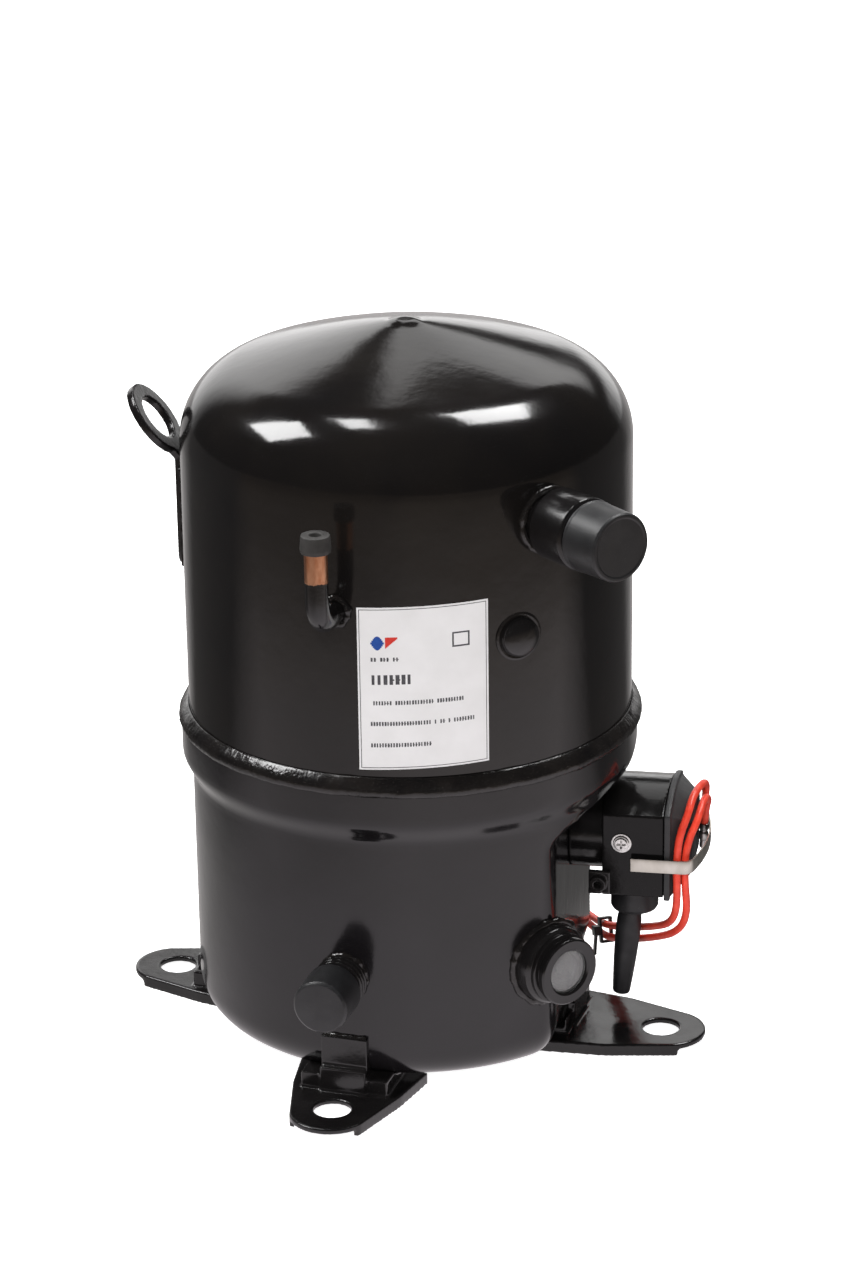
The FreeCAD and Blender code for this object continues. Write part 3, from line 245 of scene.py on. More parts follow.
def copper_tube():
    """Bare copper round the mouth, black enamel below a ragged edge."""
    m = Nodes("copper_tube")
    height = m.add("ShaderNodeSeparateXYZ", Vector=m.where()).outputs["Z"]
    edge = m.math("ADD", height, m.math("MULTIPLY", m.noise(260.0), 0.003))
    bare = m.spread(edge, 0.0, 1.0, 0.2892, 0.2898)
    copper = m.ramp(m.noise(330.0, (1, 1, 0.3)), (0.60, 0.25, 0.13), (0.86, 0.46, 0.28))
    m.put(m.shader, "Base_Color", m.mix(bare, (*INK, 1.0), copper))
    m.put(m.shader, "Metallic", bare)
    enamel = m.spread(m.noise(300.0), 0.12, 0.2)
    m.put(m.shader, "Roughness", m.math("ADD", enamel, m.math("MULTIPLY", bare, 0.16)))
    m.put(m.shader, "Normal", m.bump(m.noise(520.0), 0.06 * MM))
    MATERIAL["copper_tube"] = m.material


def glass():
    m = Nodes("sight_glass")
    m.put(m.shader, "Base_Color", m.ramp(m.noise(200.0), (0.86, 0.88, 0.87), (0.95, 0.96, 0.95)))
    m.put(m.shader, "Roughness", m.spread(m.noise(420.0), 0.02, 0.07))
    m.put(m.shader, "Transmission_Weight", 0.92)
    m.put(m.shader, "IOR", 1.5)
    m.put(m.shader, "Normal", m.bump(m.noise(150.0), 0.03 * MM))
    MATERIAL["sight_glass"] = m.material


# ---------------------------------------------------------------- mesh helpers
def raw_mesh(name, points, faces, matrix=None):
    """A mesh from points in millimetres, with its normals made to face outwards."""
    mesh = bpy.data.meshes.new(name)
    mesh.from_pydata([tuple(p) for p in points], [], faces)
    mesh.transform(Matrix.Scale(MM, 4) @ (matrix or Matrix.Identity(4)))
    bm = bmesh.new()
    bm.from_mesh(mesh)
    bmesh.ops.remove_doubles(bm, verts=bm.verts, dist=1e-7)
    bmesh.ops.recalc_face_normals(bm, faces=bm.faces)
    bm.to_mesh(mesh)
    bm.free()
    return mesh


def piece(name, mesh, material, body="shell", nodes=(), sharp=38.0):
    obj = bpy.data.objects.new(name, mesh)
    bpy.context.scene.collection.objects.link(obj)
    mesh.materials.clear()
    mesh.materials.append(MATERIAL[material])
    mesh.shade_smooth()
    if sharp:
        mesh.set_sharp_from_angle(angle=math.radians(sharp))
    if body:
        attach(obj, body)
    if nodes:
        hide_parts(*nodes)
    return obj


def painted(name, mesh, nodes=(), sharp=38.0):
    """A piece in the shell's black paint."""
    return piece(name, mesh, "fitting_paint", nodes=nodes, sharp=sharp)


def join(name, meshes):
    """One mesh holding several."""
    bm = bmesh.new()
    for mesh in meshes:
        bm.from_mesh(mesh)
    out = bpy.data.meshes.new(name)
    bm.to_mesh(out)
    bm.free()
    return out


def evaluated(mesh, setup):
    """The mesh after the modifiers that setup(obj) adds."""
    obj = bpy.data.objects.new("scratch", mesh)
    bpy.context.scene.collection.objects.link(obj)
    setup(obj)
    bpy.context.view_layer.update()
    shape = obj.evaluated_get(bpy.context.evaluated_depsgraph_get())
    out = bpy.data.meshes.new_from_object(shape)
    bpy.data.objects.remove(obj)
    return out


def carve(mesh, cutter):
    """The mesh with the cutter's shape taken out."""
    tool = bpy.data.objects.new("scratch_tool", cutter)
    bpy.context.scene.collection.objects.link(tool)

    def setup(obj):
        cut = obj.modifiers.new("cut", "BOOLEAN")
        cut.object = tool
        cut.solver = "EXACT"
    out = evaluated(mesh, setup)
    bpy.data.objects.remove(tool)
    return out


def soften(node, voxel, passes):
    """The CAD node's shape with its edges and inner corners eased."""
    def setup(obj):
        grid = obj.modifiers.new("grid", "REMESH")
        grid.mode = "VOXEL"
        grid.voxel_size = voxel * MM
        ease = obj.modifiers.new("ease", "SMOOTH")
        ease.factor = 0.5
        ease.iterations = passes
    return evaluated(frame["nodes"][node].data.copy(), setup)


def roundness(points, radii, steps=5, closed=False):
    """A 2D outline with its corners rounded. A radius of 0 leaves a corner as it is."""
    out = []
    count = len(points)
    for i, (point, radius) in enumerate(zip(points, radii)):
        corner = Vector(point)
        if radius <= 0 or (not closed and i in (0, count - 1)):
            out.append(tuple(corner))
            continue
        a, b = Vector(points[i - 1]) - corner, Vector(points[(i + 1) % count]) - corner
        half = a.angle(b) / 2
        reach = min(radius / math.tan(half), 0.49 * a.length, 0.49 * b.length)
        start, end = corner + a.normalized() * reach, corner + b.normalized() * reach
        for k in range(steps + 1):
            t = k / steps
            out.append(tuple(start * (1 - t) ** 2 + corner * (2 * t * (1 - t)) + end * t * t))
    return out


def lathe(name, profile, sides, matrix=None, closed=False, shift=None):
    """Turns (r, z) points about Z. closed joins the last to the first; otherwise both ends lie on the axis."""
    points, rings = [], []
    for i, (r, z) in enumerate(profile):
        if abs(r) < 1e-6:
            rings.append([len(points)])
            points.append((0.0, 0.0, z))
            continue
        rings.append(list(range(len(points), len(points) + sides)))
        for k in range(sides):
            angle = TAU * k / sides
            rr, zz = shift(i, angle, r, z) if shift else (r, z)
            points.append((rr * math.cos(angle), rr * math.sin(angle), zz))
    faces = []
    pairs = list(zip(rings, rings[1:])) + ([(rings[-1], rings[0])] if closed else [])
    for a, b in pairs:
        for k in range(sides):
            n = (k + 1) % sides
            if len(a) == 1 and len(b) == 1:
                continue
            if len(a) == 1:
                faces.append((a[0], b[k], b[n]))
            elif len(b) == 1:
                faces.append((a[k], b[0], a[n]))
            else:
                faces.append((a[k], b[k], b[n], a[n]))
    return raw_mesh(name, points, faces, matrix)


def turned(name, outline, radii, steps, sides, matrix=None, closed=False):
    """A lathe-turned mesh whose outline has rounded corners."""
    return lathe(name, roundness(outline, radii, steps, closed), sides, matrix, closed)


def outward(start, z, degrees):
    """Lays a turned piece along a heading: its axis runs outwards from start at height z."""
    return heading(degrees) @ Matrix.Translation((start, 0, z)) @ Matrix.Rotation(math.pi / 2, 4, "Y")


def arc(centre, radius, first, last, steps):
    """Points on an arc between two angles in degrees."""
    return [(centre[0] + radius * math.cos(math.radians(first + (last - first) * k / steps)),
             centre[1] + radius * math.sin(math.radians(first + (last - first) * k / steps)))
            for k in range(steps + 1)]


def tube(name, path, radius, sides=20, closed=False, matrix=None):
    """A round bar along a path. radius is a number or a function of the path's index."""
    line = [Vector(p) for p in path]
    count = len(line)
    size = radius if callable(radius) else (lambda index: radius)
    tangents = []
    for i in range(count):
        before = line[i - 1] if (i or closed) else line[0]
        after = line[(i + 1) % count] if (i < count - 1 or closed) else line[-1]
        tangents.append((after - before).normalized())
    side = tangents[0].orthogonal().normalized()
    frames = []
    for tangent in tangents:
        side = (side - tangent * side.dot(tangent)).normalized()
        frames.append((side.copy(), tangent.cross(side)))
    points, rings = [], []
    for i in range(count):
        first = len(points)
        for k in range(sides):
            angle = TAU * k / sides
            points.append(line[i] + (frames[i][0] * math.cos(angle) + frames[i][1] * math.sin(angle)) * size(i))
        rings.append(range(first, first + sides))
    pairs = list(zip(rings, rings[1:])) + ([(rings[-1], rings[0])] if closed else [])
    faces = [(a[k], a[(k + 1) % sides], b[(k + 1) % sides], b[k]) for a, b in pairs for k in range(sides)]
    if not closed:
        faces += [tuple(rings[0]), tuple(rings[-1])]
    return raw_mesh(name, points, faces, matrix)


def bead(name, path, radius, seed, closed, lumps):
    """A lumpy weld bead along a path."""
    def size(index):
        slow = noise.noise(Vector((index * 0.23, seed, 4)))
        fine = noise.noise(Vector((index * 0.9, seed, 9)))
        return radius * (1 + lumps * slow + 0.35 * lumps * fine)
    return tube(name, path, size, sides=12, closed=closed)


def weld(name, path, radius, seed, closed=True, lumps=0.28):
    """A painted weld bead as a piece."""
    return piece(name, bead(name, path, radius, seed, closed, lumps), "weld_paint", sharp=None)


def round_port(wall, reach, degrees, z, proud=0.0, count=70):
    """Points where a round port of radius reach meets the round wall."""
    out = []
    for k in range(count):
        y, dz = reach * math.cos(TAU * k / count), reach * math.sin(TAU * k / count)
        out.append(heading(degrees) @ Vector((math.sqrt(wall ** 2 - y * y) + proud, y, z + dz)))
    return out


def wobble(angle, z, seed, size, amount):
    """A slow unevenness, like that of drawn sheet."""
    place = Vector((math.cos(angle) * size, math.sin(angle) * size, z / 60.0 + seed))
    return amount * noise.noise(place)


# ---------------------------------------------------------------- shell
def dome_line(radius, shoulder, nub):
    """The upper shell's outline: wall, round shoulder, and a cone that flattens towards the middle."""
    points = [(radius, SKIRT_Z + (SHOULDER_Z - SKIRT_Z) * k / 26) for k in range(27)]
    centre = (radius - shoulder, SHOULDER_Z)
    points += arc(centre, shoulder, 0, 73, 26)[1:]
    knee = points[-1]
    steep, mild = math.tan(math.radians(17.0)), math.tan(math.radians(11.0))
    inner = 9.0 if nub else 0.0
    for k in range(1, 25):
        share = k / 24
        run = (knee[0] - inner) * share
        points.append((knee[0] - run, knee[1] + run * (steep + (mild - steep) * share / 2)))
    top = points[-1][1]
    if nub:
        points += [(8.0, top + 0.45), (7.0, top + 0.8), (6.0, top + 1.15), (4.8, top + 1.4), (3.2, top + 1.5),
                   (1.5, top + 1.45), (0.0, top + 1.45)]
    return points


def upper_shell():
    """The domed upper skin with its three port holes."""
    outer = dome_line(UPPER_R, 42.0, True)
    inner = dome_line(UPPER_R - WALL, 38.0, False)

    def shift(i, angle, r, z):
        amount = 0.16 if z > 200 else 0.05
        return r + wobble(angle, z, 3.0, 1.6, amount), z
    mesh = lathe("upper_shell_skin", [*outer[::-1], *inner], 256, shift=shift)
    holes = join("holes", [
        raw_hole(14.0, 90.0, 50.0, SUCTION_Z, PORT), raw_hole(5.7, 90.0, 50.0, PROCESS_Z, FRONT),
        raw_hole(6.0, 90.0, 50.0, PLUG_Z, PLUG)])
    return piece("upper_shell_skin", carve(mesh, holes), "upper_paint", nodes=["upper_shell"])


def raw_hole(radius, start, length, z, degrees):
    """A cutter for a round hole in a wall."""
    return lathe("hole", [(0, 0), (radius, 0), (radius, length), (0, length)], 48, outward(start, z, degrees))


def soft_min(a, b, k):
    """The lower of two values, blended where they are within k of each other."""
    h = max(k - abs(a - b), 0.0) / k
    return min(a, b) - h * h * k / 4


def lower_line(radius, lip, bottom, corner):
    """The lower shell's outline: floor, round corner, wall, flare and lip."""
    points = [(0.0, bottom)] + [(r, bottom) for r in (20, 40, 60, 78, 88)]
    points = [(r, z) for r, z in points if r < radius - corner]
    points += arc((radius - corner, bottom + corner), corner, -90, 0, 14)
    z0 = bottom + corner
    points += [(radius, z0 + (FLARE_Z - z0) * k / 34) for k in range(1, 35)]
    for k in range(1, 11):
        t = k / 10
        points.append((radius + (lip - radius) * (3 * t * t - 2 * t ** 3), FLARE_Z + 13.0 * t))
    points += [(lip, 158.0), (lip, 164.0), (lip, 170.0)]
    return points


def lower_shell():
    """The lower skin: round, but flat under the terminal box, and flared at its lip."""
    outer = lower_line(LOWER_R, LIP_R, 10.0, 20.0)
    inner = lower_line(LOWER_R - WALL, LIP_R - WALL, 10.0 + WALL, 20.0 - WALL)
    profile = [*outer, *inner[::-1]]
    turn_at = len(outer)
    flat_top, flat_fade = 130.0, 21.0

    def shift(i, angle, r, z):
        inside = i >= turn_at
        wall = LOWER_R - WALL if inside else LOWER_R
        cut = WALL if inside else 0.0
        across = math.cos(angle - math.radians(BOX))
        t = min(max((z - flat_top) / flat_fade, 0.0), 1.0)
        flat = FLAT_X - cut + (LIP_R - FLAT_X) * (0.35 * t + 0.65 * t * t * (3 - 2 * t))
        limit = max(wall, r)
        if across > 0.2:
            r = r * soft_min(limit, flat / across, 7.0) / limit
        return r + wobble(angle, z, 9.0, 1.5, 0.14) * min(1.0, r / 60.0), z
    mesh = lathe("lower_shell_skin", profile, 256, shift=shift)
    holes = join("holes", [
        raw_hole(13.0, 80.0, 50.0, SIGHT_Z, PORT), raw_hole(10.0, 80.0, 50.0, DISCHARGE_Z, FRONT),
        raw_hole(17.0, 60.0, 50.0, HEADER_Z, BOX), raw_hole(10.0, 80.0, 50.0, HEATER_Z, HEATER)])
    return piece("lower_shell_skin", carve(mesh, holes), "lower_paint", nodes=["lower_shell"])


def girth_weld():
    """The wide weld over the seam, with ripples, lumps and spatter."""
    profile = [(114.1, 179.3), (114.9, 178.9), (115.8, 178.0), (116.9, 176.8), (118.0, 175.4), (118.9, 173.8),
               (119.2, 172.2), (118.9, 170.8), (118.2, 169.6), (117.6, 169.4), (114.1, 169.9)]
    rng = random.Random(11)
    drops = [(rng.uniform(0, TAU), rng.uniform(170.5, 178.0), rng.uniform(0.25, 0.6)) for _ in range(150)]
    sides, crest = 1150, 119.0

    def shift(i, angle, r, z):
        if i in (0, len(profile) - 1):
            return r, z
        arc_length = angle * crest
        ripple = math.sin(TAU * round(arc_length / 1.7) / 7.0 + arc_length * 3.7 + (z - 174) * 0.7)
        slow = noise.noise(Vector((arc_length / 9.0, z / 4.0, 0)))
        fine = noise.noise(Vector((arc_length / 1.6, z / 1.3, 5)))
        lump = 0.0
        for at, height, size in drops:
            d = abs((angle - at + math.pi) % TAU - math.pi) * crest
            if d < 1.6 and abs(z - height) < 1.6:
                lump += size * math.exp(-(d * d + (z - height) ** 2) / 0.7)
        grow = 0.12 * ripple + 0.16 * slow + 0.14 * fine + 0.6 * lump
        return r + grow, z + 0.6 * noise.noise(Vector((arc_length / 14.0, 8.0, 0)))
    mesh = lathe("girth_weld_bead", profile, sides, closed=True, shift=shift)
    return piece("girth_weld_bead", mesh, "weld_paint", nodes=["girth_weld"], sharp=None)


# ---------------------------------------------------------------- feet and eye
def feet_and_eye():
    for side in ("right", "rear", "left", "front"):
        node = "foot_" + side
        painted(node + "_pressing", soften(node, 0.75, 3), [node], sharp=None)
    painted("lifting_eye_bar", soften("lifting_eye", 0.6, 4), ["lifting_eye"], sharp=None)
    for name, side, seed in (("near", -1, 1.0), ("far", 1, 2.0)):
        path = [heading(EYE) @ Vector((114.3, side * (9.6 + 0.4 * math.sin(k)), 247.0 + 52.0 * k / 40))
                for k in range(41)]
        weld("eye_weld_" + name, path, 1.9, seed, closed=False)
    on_flat, on_round, bead_z = FLAT_X + 0.8, LOWER_R + 0.2, 35.6
    for name, degrees in (("right", 0.0), ("rear", 90.0), ("left", 180.0), ("front", 270.0)):
        path = []
        for y in [-11.0 + 22.0 * k / 24 for k in range(25)]:
            x = on_flat if name == "right" else math.sqrt(on_round ** 2 - y * y)
            path.append(heading(degrees) @ Vector((x, y, bead_z)))
        weld("foot_weld_" + name, path, 1.8, degrees * 0.1 + 3, closed=False)


# ---------------------------------------------------------------- pipes and fittings
def process_tube():
    radius, top, reach, bend = 5.7, 302.0, 139.0, 14.0
    path = [(108.0, 0, PROCESS_Z), (114.0, 0, PROCESS_Z), (120.0, 0, PROCESS_Z)]
    for x, z in arc((reach - bend, PROCESS_Z + bend), bend, -90, 0, 12):
        path.append((x, 0, z))
    path += [(reach, 0, z) for z in (282.0, 288.0, 294.0, 299.0, top)]
    outer = tube("process_tube_bent", path, radius, 40, matrix=heading(FRONT))
    path[0], path[-1] = (107.0, 0, PROCESS_Z), (reach, 0, top + 1.0)
    bore = tube("bore", path, 4.5, 32, matrix=heading(FRONT))
    piece("process_tube_bent", carve(outer, bore), "copper_tube", nodes=["process_tube"])
    plug = [(0, 2.0), (1.5, 2.2), (2.4, 4.0), (3.0, 9.0), (7.1, 9.0), (7.6, 2.2), (7.3, 0.2), (5.0, 0.3),
            (4.4, 0.2), (3.9, -8.6), (0, -8.8)]
    radii = [0, 0.2, 0.4, 0.8, 0.9, 0.8, 0.4, 0.2, 0.3, 0.8, 0]
    place = heading(FRONT) @ Matrix.Translation((reach, 0, top + 0.3))
    mesh = turned("process_plug_moulded", plug, radii, 4, 48, place)
    piece("process_plug_moulded", mesh, "plug_rubber", "charging_plug", ["process_plug"])
    weld("process_tube_braze", round_port(UPPER_R, 6.6, FRONT, PROCESS_Z, 0.3, 60), 1.9, 5.0, lumps=0.8)


def suction_side():
    stub = [(10.5, 0), (14.0, 0), (14.0, 12.0), (18.0, 15.0), (18.0, 36.5), (14.5, 38.5), (14.5, 54.0),
            (10.5, 54.0)]
    radii = [0.2, 0.2, 1.5, 1.6, 1.0, 0.8, 0.6, 0.5]
    mesh = turned("suction_stub_turned", stub, radii, 5, 96, outward(106.0, SUCTION_Z, PORT), closed=True)
    painted("suction_stub_turned", mesh, ["suction_adapter"])
    cap = [(14.6, 0), (17.8, 0), (17.75, 1.2), (17.5, 1.6), (17.0, 21.3), (16.2, 22.5), (15.0, 22.5),
           (14.2, 22.1), (0, 22.1), (0, 19.4), (14.6, 19.4)]
    radii = [0.3, 0.4, 0.2, 0.2, 0.9, 0.6, 0.3, 0.3, 0, 0, 0.4]
    outline = roundness(cap, radii, 5, closed=True)
    start = next(i for i, p in enumerate(outline) if p[0] == 0) + 1
    outline = outline[start:] + outline[:start]
    mesh = lathe("suction_cap_moulded", outline, 96, outward(145.5, SUCTION_Z, PORT))
    piece("suction_cap_moulded", mesh, "cap_plastic", "suction_plug", ["suction_cap"])
    weld("suction_stub_braze", round_port(UPPER_R, 15.6, PORT, SUCTION_Z, 0.0, 90), 1.9, 15.0, lumps=0.6)


def discharge_side():
    pitch, start, sides = 3.2, 8.4, 100
    profile = [(5.0, 0.0), (10.0, 0.0), (10.0, 7.0)] + [(11.0, start + 12.6 * k / 60) for k in range(61)]
    profile += [(11.0, 23.0), (10.95, 30.0), (10.9, 35.4), (10.3, 36.0), (5.4, 36.0), (5.0, 35.6)]

    def shift(i, angle, r, z):
        if 3 <= i <= 63:
            phase = ((z - start) / pitch - angle / TAU) % 1.0
            height = min(max(1.6 - abs(phase - 0.5) * 4.0, 0.0), 1.0)
            ends = min(1.0, (z - start) / 1.2 + 0.05, (21.0 - z) / 1.2 + 0.05)
            r += 2.3 * height * max(ends, 0.0)
        return r, z
    mesh = lathe("discharge_stub_threaded", profile, sides, outward(106.0, DISCHARGE_Z, FRONT), closed=True,
                 shift=shift)
    painted("discharge_stub_threaded", mesh, ["discharge_stub"], sharp=60.0)
    cap = [(0, 18.6), (11.1, 18.6), (11.1, 0), (14.2, 0), (14.25, 2.2), (13.9, 20.3), (12.7, 21.5), (0, 21.9)]
    radii = [0, 0.4, 0.3, 0.5, 0.3, 1.1, 0.9, 0]
    mesh = turned("discharge_cap_moulded", cap, radii, 5, 96, outward(128.5, DISCHARGE_Z, FRONT))
    piece("discharge_cap_moulded", mesh, "cap_plastic", "discharge_plug", ["discharge_cap"])
    weld("discharge_stub_braze", round_port(LOWER_R, 11.6, FRONT, DISCHARGE_Z, 0.2, 80), 1.8, 25.0, lumps=0.7)


def sight_glass():
    boss = [(12.0, -2.0), (13.0, -2.0), (13.0, 1.0), (20.5, 1.0), (20.5, 8.0), (20.0, 11.6), (18.4, 13.5),
            (12.0, 13.5)]
    radii = [0.2, 0.2, 0.2, 0.4, 1.5, 1.5, 0.8, 0.3]
    mesh = turned("sight_boss_turned", boss, radii, 5, 112, outward(108.0, SIGHT_Z, PORT), closed=True)
    painted("sight_boss_turned", mesh, ["sight_glass_boss"])
    nut = [(10.2, 0), (18.2, 0), (18.2, 2.2), (15.8, 2.9), (15.8, 4.2), (17.4, 4.9), (17.4, 7.8), (16.6, 8.5),
           (12.4, 8.5), (11.4, 7.7), (11.4, 5.0), (10.2, 5.0)]
    radii = [0.2, 0.3, 0.6, 0.3, 0.3, 0.4, 0.5, 0.5, 0.5, 0.4, 0.1, 0.1]
    mesh = turned("sight_nut_turned", nut, radii, 5, 112, outward(121.5, SIGHT_Z, PORT), closed=True)
    painted("sight_nut_turned", mesh, ["sight_glass_ring"])
    weld("sight_boss_weld", round_port(LOWER_R, 21.2, PORT, SIGHT_Z, 0.0, 120), 2.1, 35.0, lumps=0.6)
    target = [(0, 0), (11.1, 0), (11.1, 2.0), (8.2, 2.0), (7.4, 0.8), (3.0, 0.8), (2.4, 1.9), (0, 1.9)]
    radii = [0, 0.2, 0.4, 0.4, 0.3, 0.3, 0.4, 0]
    mesh = turned("sight_target", target, radii, 4, 72, outward(121.7, SIGHT_Z, PORT))
    piece("sight_target", mesh, "sight_target")


def safety_plug():
    seat, radii = [(9.6, 0), (12.6, 0), (12.4, 0.9), (11.3, 1.3), (9.6, 1.0)], [0.1, 0.3, 0.4, 0.4, 0.1]
    mesh = turned("safety_plug_seat", seat, radii, 4, 72, outward(113.2, PLUG_Z, PLUG), closed=True)
    piece("safety_plug_seat", mesh, "weld_paint")
    dome = [(0, 0), (6.0, 0), (6.0, 7.4), (10.2, 7.4), (9.9, 9.4)]
    dome += [(9.7 * math.cos(a), 9.6 + 4.0 * math.sin(a)) for a in [k * math.pi / 2 / 14 for k in range(14)]]
    dome.append((0, 13.6))

    def shift(i, angle, r, z):
        place = Vector((math.cos(angle) * 1.3, math.sin(angle) * 1.3, z / 4))
        return r + (0.35 * noise.noise(place) if i > 2 else 0), z
    mesh = lathe("safety_plug_dome", dome, 72, outward(106.7, PLUG_Z, PLUG), shift=shift)
    painted("safety_plug_dome", mesh, ["fusible_plug"])


# ---------------------------------------------------------------- label
LABEL_W, LABEL_H, LABEL_CLIMB = 64.0, 84.0, 0.036


def patch(u0, u1, v0, v1, low, high):
    """A thin curved plate: u across the label from its left, v down from its top."""
    columns = max(2, math.ceil((u1 - u0) / 1.5) + 1)
    points, faces = [], []
    for k in range(columns):
        u = u0 + (u1 - u0) * k / (columns - 1)
        angle = (u - LABEL_W / 2) / UPPER_R
        for r, v in ((low, v0), (high, v0), (high, v1), (low, v1)):
            z = LABEL_Z + LABEL_H / 2 - v + (u - LABEL_W / 2) * LABEL_CLIMB
            points.append((r * math.cos(angle), r * math.sin(angle), z))
    for k in range(columns - 1):
        for j in range(4):
            n = (j + 1) % 4
            faces.append((4 * k + j, 4 * k + n, 4 * k + 4 + n, 4 * k + 4 + j))
    faces += [(0, 1, 2, 3), tuple(4 * (columns - 1) + j for j in range(4))]
    return raw_mesh("patch", points, faces, heading(LABEL))


def label():
    film = patch(0, LABEL_W, 0, LABEL_H, UPPER_R + 0.12, UPPER_R + 0.42)
    piece("label_film", film, "label_film", nodes=["nameplate"], sharp=30.0)
    ink = (UPPER_R + 0.40, UPPER_R + 0.45)
    edge, line = 0.9, 0.35
    right, foot = LABEL_W - edge, LABEL_H - edge
    marks = [(edge, right, edge, edge + line), (edge, right, foot - line, foot),
             (edge, edge + line, edge, foot), (right - line, right, edge, foot)]
    rng = random.Random(5)

    def dashes(u0, u1, v, height, step):
        """A row of small blocks in place of print."""
        u = u0
        while u < u1 - step:
            if rng.random() > 0.14:
                wide = step * rng.uniform(0.45, 0.68)
                marks.append((u, u + wide, v - height, v))
                if rng.random() > 0.4:
                    marks.append((u + wide, u + step * 0.8, v - height * 0.55, v - height * 0.4))
            u += step
    for row in ((6.5, 23.5, 27.6, 2.0, 1.55), (6.8, 29.0, 39.6, 5.0, 2.9), (6.0, 52.0, 50.2, 2.1, 1.35),
                (6.0, 58.5, 61.0, 2.1, 1.35), (6.0, 36.0, 72.2, 2.1, 1.35)):
        dashes(*row)

    def printed(name, look, areas):
        piece(name, join(name, [patch(*area, *ink) for area in areas]), look, sharp=30.0)
    printed("label_marks", "label_ink", marks)
    strip, middle, blue = 0.6, 18.2, []
    for k in range(11):
        half = 3.6 * math.sin(math.pi * (k + 0.5) / 11)
        blue.append((6.5 + strip * k, 7.1 + strip * k, middle - half, middle + half))
    printed("label_blue_mark", "label_blue", blue)
    printed("label_red_mark", "label_red", [
        (13.6 + strip * k, 14.2 + strip * k, 15.2, 15.2 + 5.6 * (1 - k / 11)) for k in range(10)])
    printed("label_frame_mark", "label_ink", [
        (46.0, 54.6, 14.6, 15.4), (46.0, 46.8, 15.4, 21.4), (53.8, 54.6, 15.4, 21.4), (46.0, 54.6, 21.4, 22.2)])


# ---------------------------------------------------------------- terminal side
def terminal_pieces():
    for node, voxel, passes, look, slot, body in (
            ("terminal_fence", 0.6, 3, "fitting_paint", "shell_paint", "shell"),
            ("terminal_box", 0.55, 3, "box_paint", "shell_paint", "shell"),
            ("terminal_cover", 0.55, 4, "cover_plastic", "black_plastic", "cover"),
            ("earth_lug", 0.35, 3, "fitting_paint", "shell_paint", "shell"),
            ("box_screw", 0.16, 2, "zinc", "zinc", "shell"),
            ("heater_well", 0.6, 3, "fitting_paint", "shell_paint", "shell"),
            ("heater_element", 0.5, 3, "heater_metal", "heater_metal", "shell")):
        piece(node + "_eased", soften(node, voxel, passes), look, body, [node], sharp=None)
    collar = [(8.2, 66.0), (11.4, 66.0), (12.4, 68.0), (12.4, 83.0), (11.8, 85.0), (8.2, 85.0)]
    mesh = turned("gland_collar_moulded", collar, [0.4, 1.0, 1.2, 1.0, 0.4, 0.2], 5, 72,
                  TERMINAL @ Matrix.Translation((117.0, 0, 0)), closed=True)
    piece("gland_collar_moulded", mesh, "cap_plastic", nodes=["gland_collar"])
    low, top = Vector((110.2, 0, 16.5)), Vector((117.0, 0, 86.5))
    axis = top - low
    length = axis.length
    shape = [(3.5, 0.0), (4.2, 0.0), (4.6, 1.2), (5.2, 9.0), (5.9, 20.0), (6.5, 33.0), (6.4, 42.0), (5.6, 49.5),
             (5.5, 53.0), (6.1, 60.0), (6.2, length - 0.5), (6.0, length), (3.5, length)]
    radii = [0.2, 0.5, 1.0, 8, 12, 12, 8, 6, 3, 4, 0.3, 0.2, 0.2]
    place = TERMINAL @ Matrix.Translation(low) @ axis.to_track_quat("Z", "Y").to_matrix().to_4x4()
    mesh = turned("cable_sleeve_moulded", shape, radii, 6, 64, place, closed=True)
    piece("cable_sleeve_moulded", mesh, "sleeve_rubber", nodes=["cable_sleeve"])


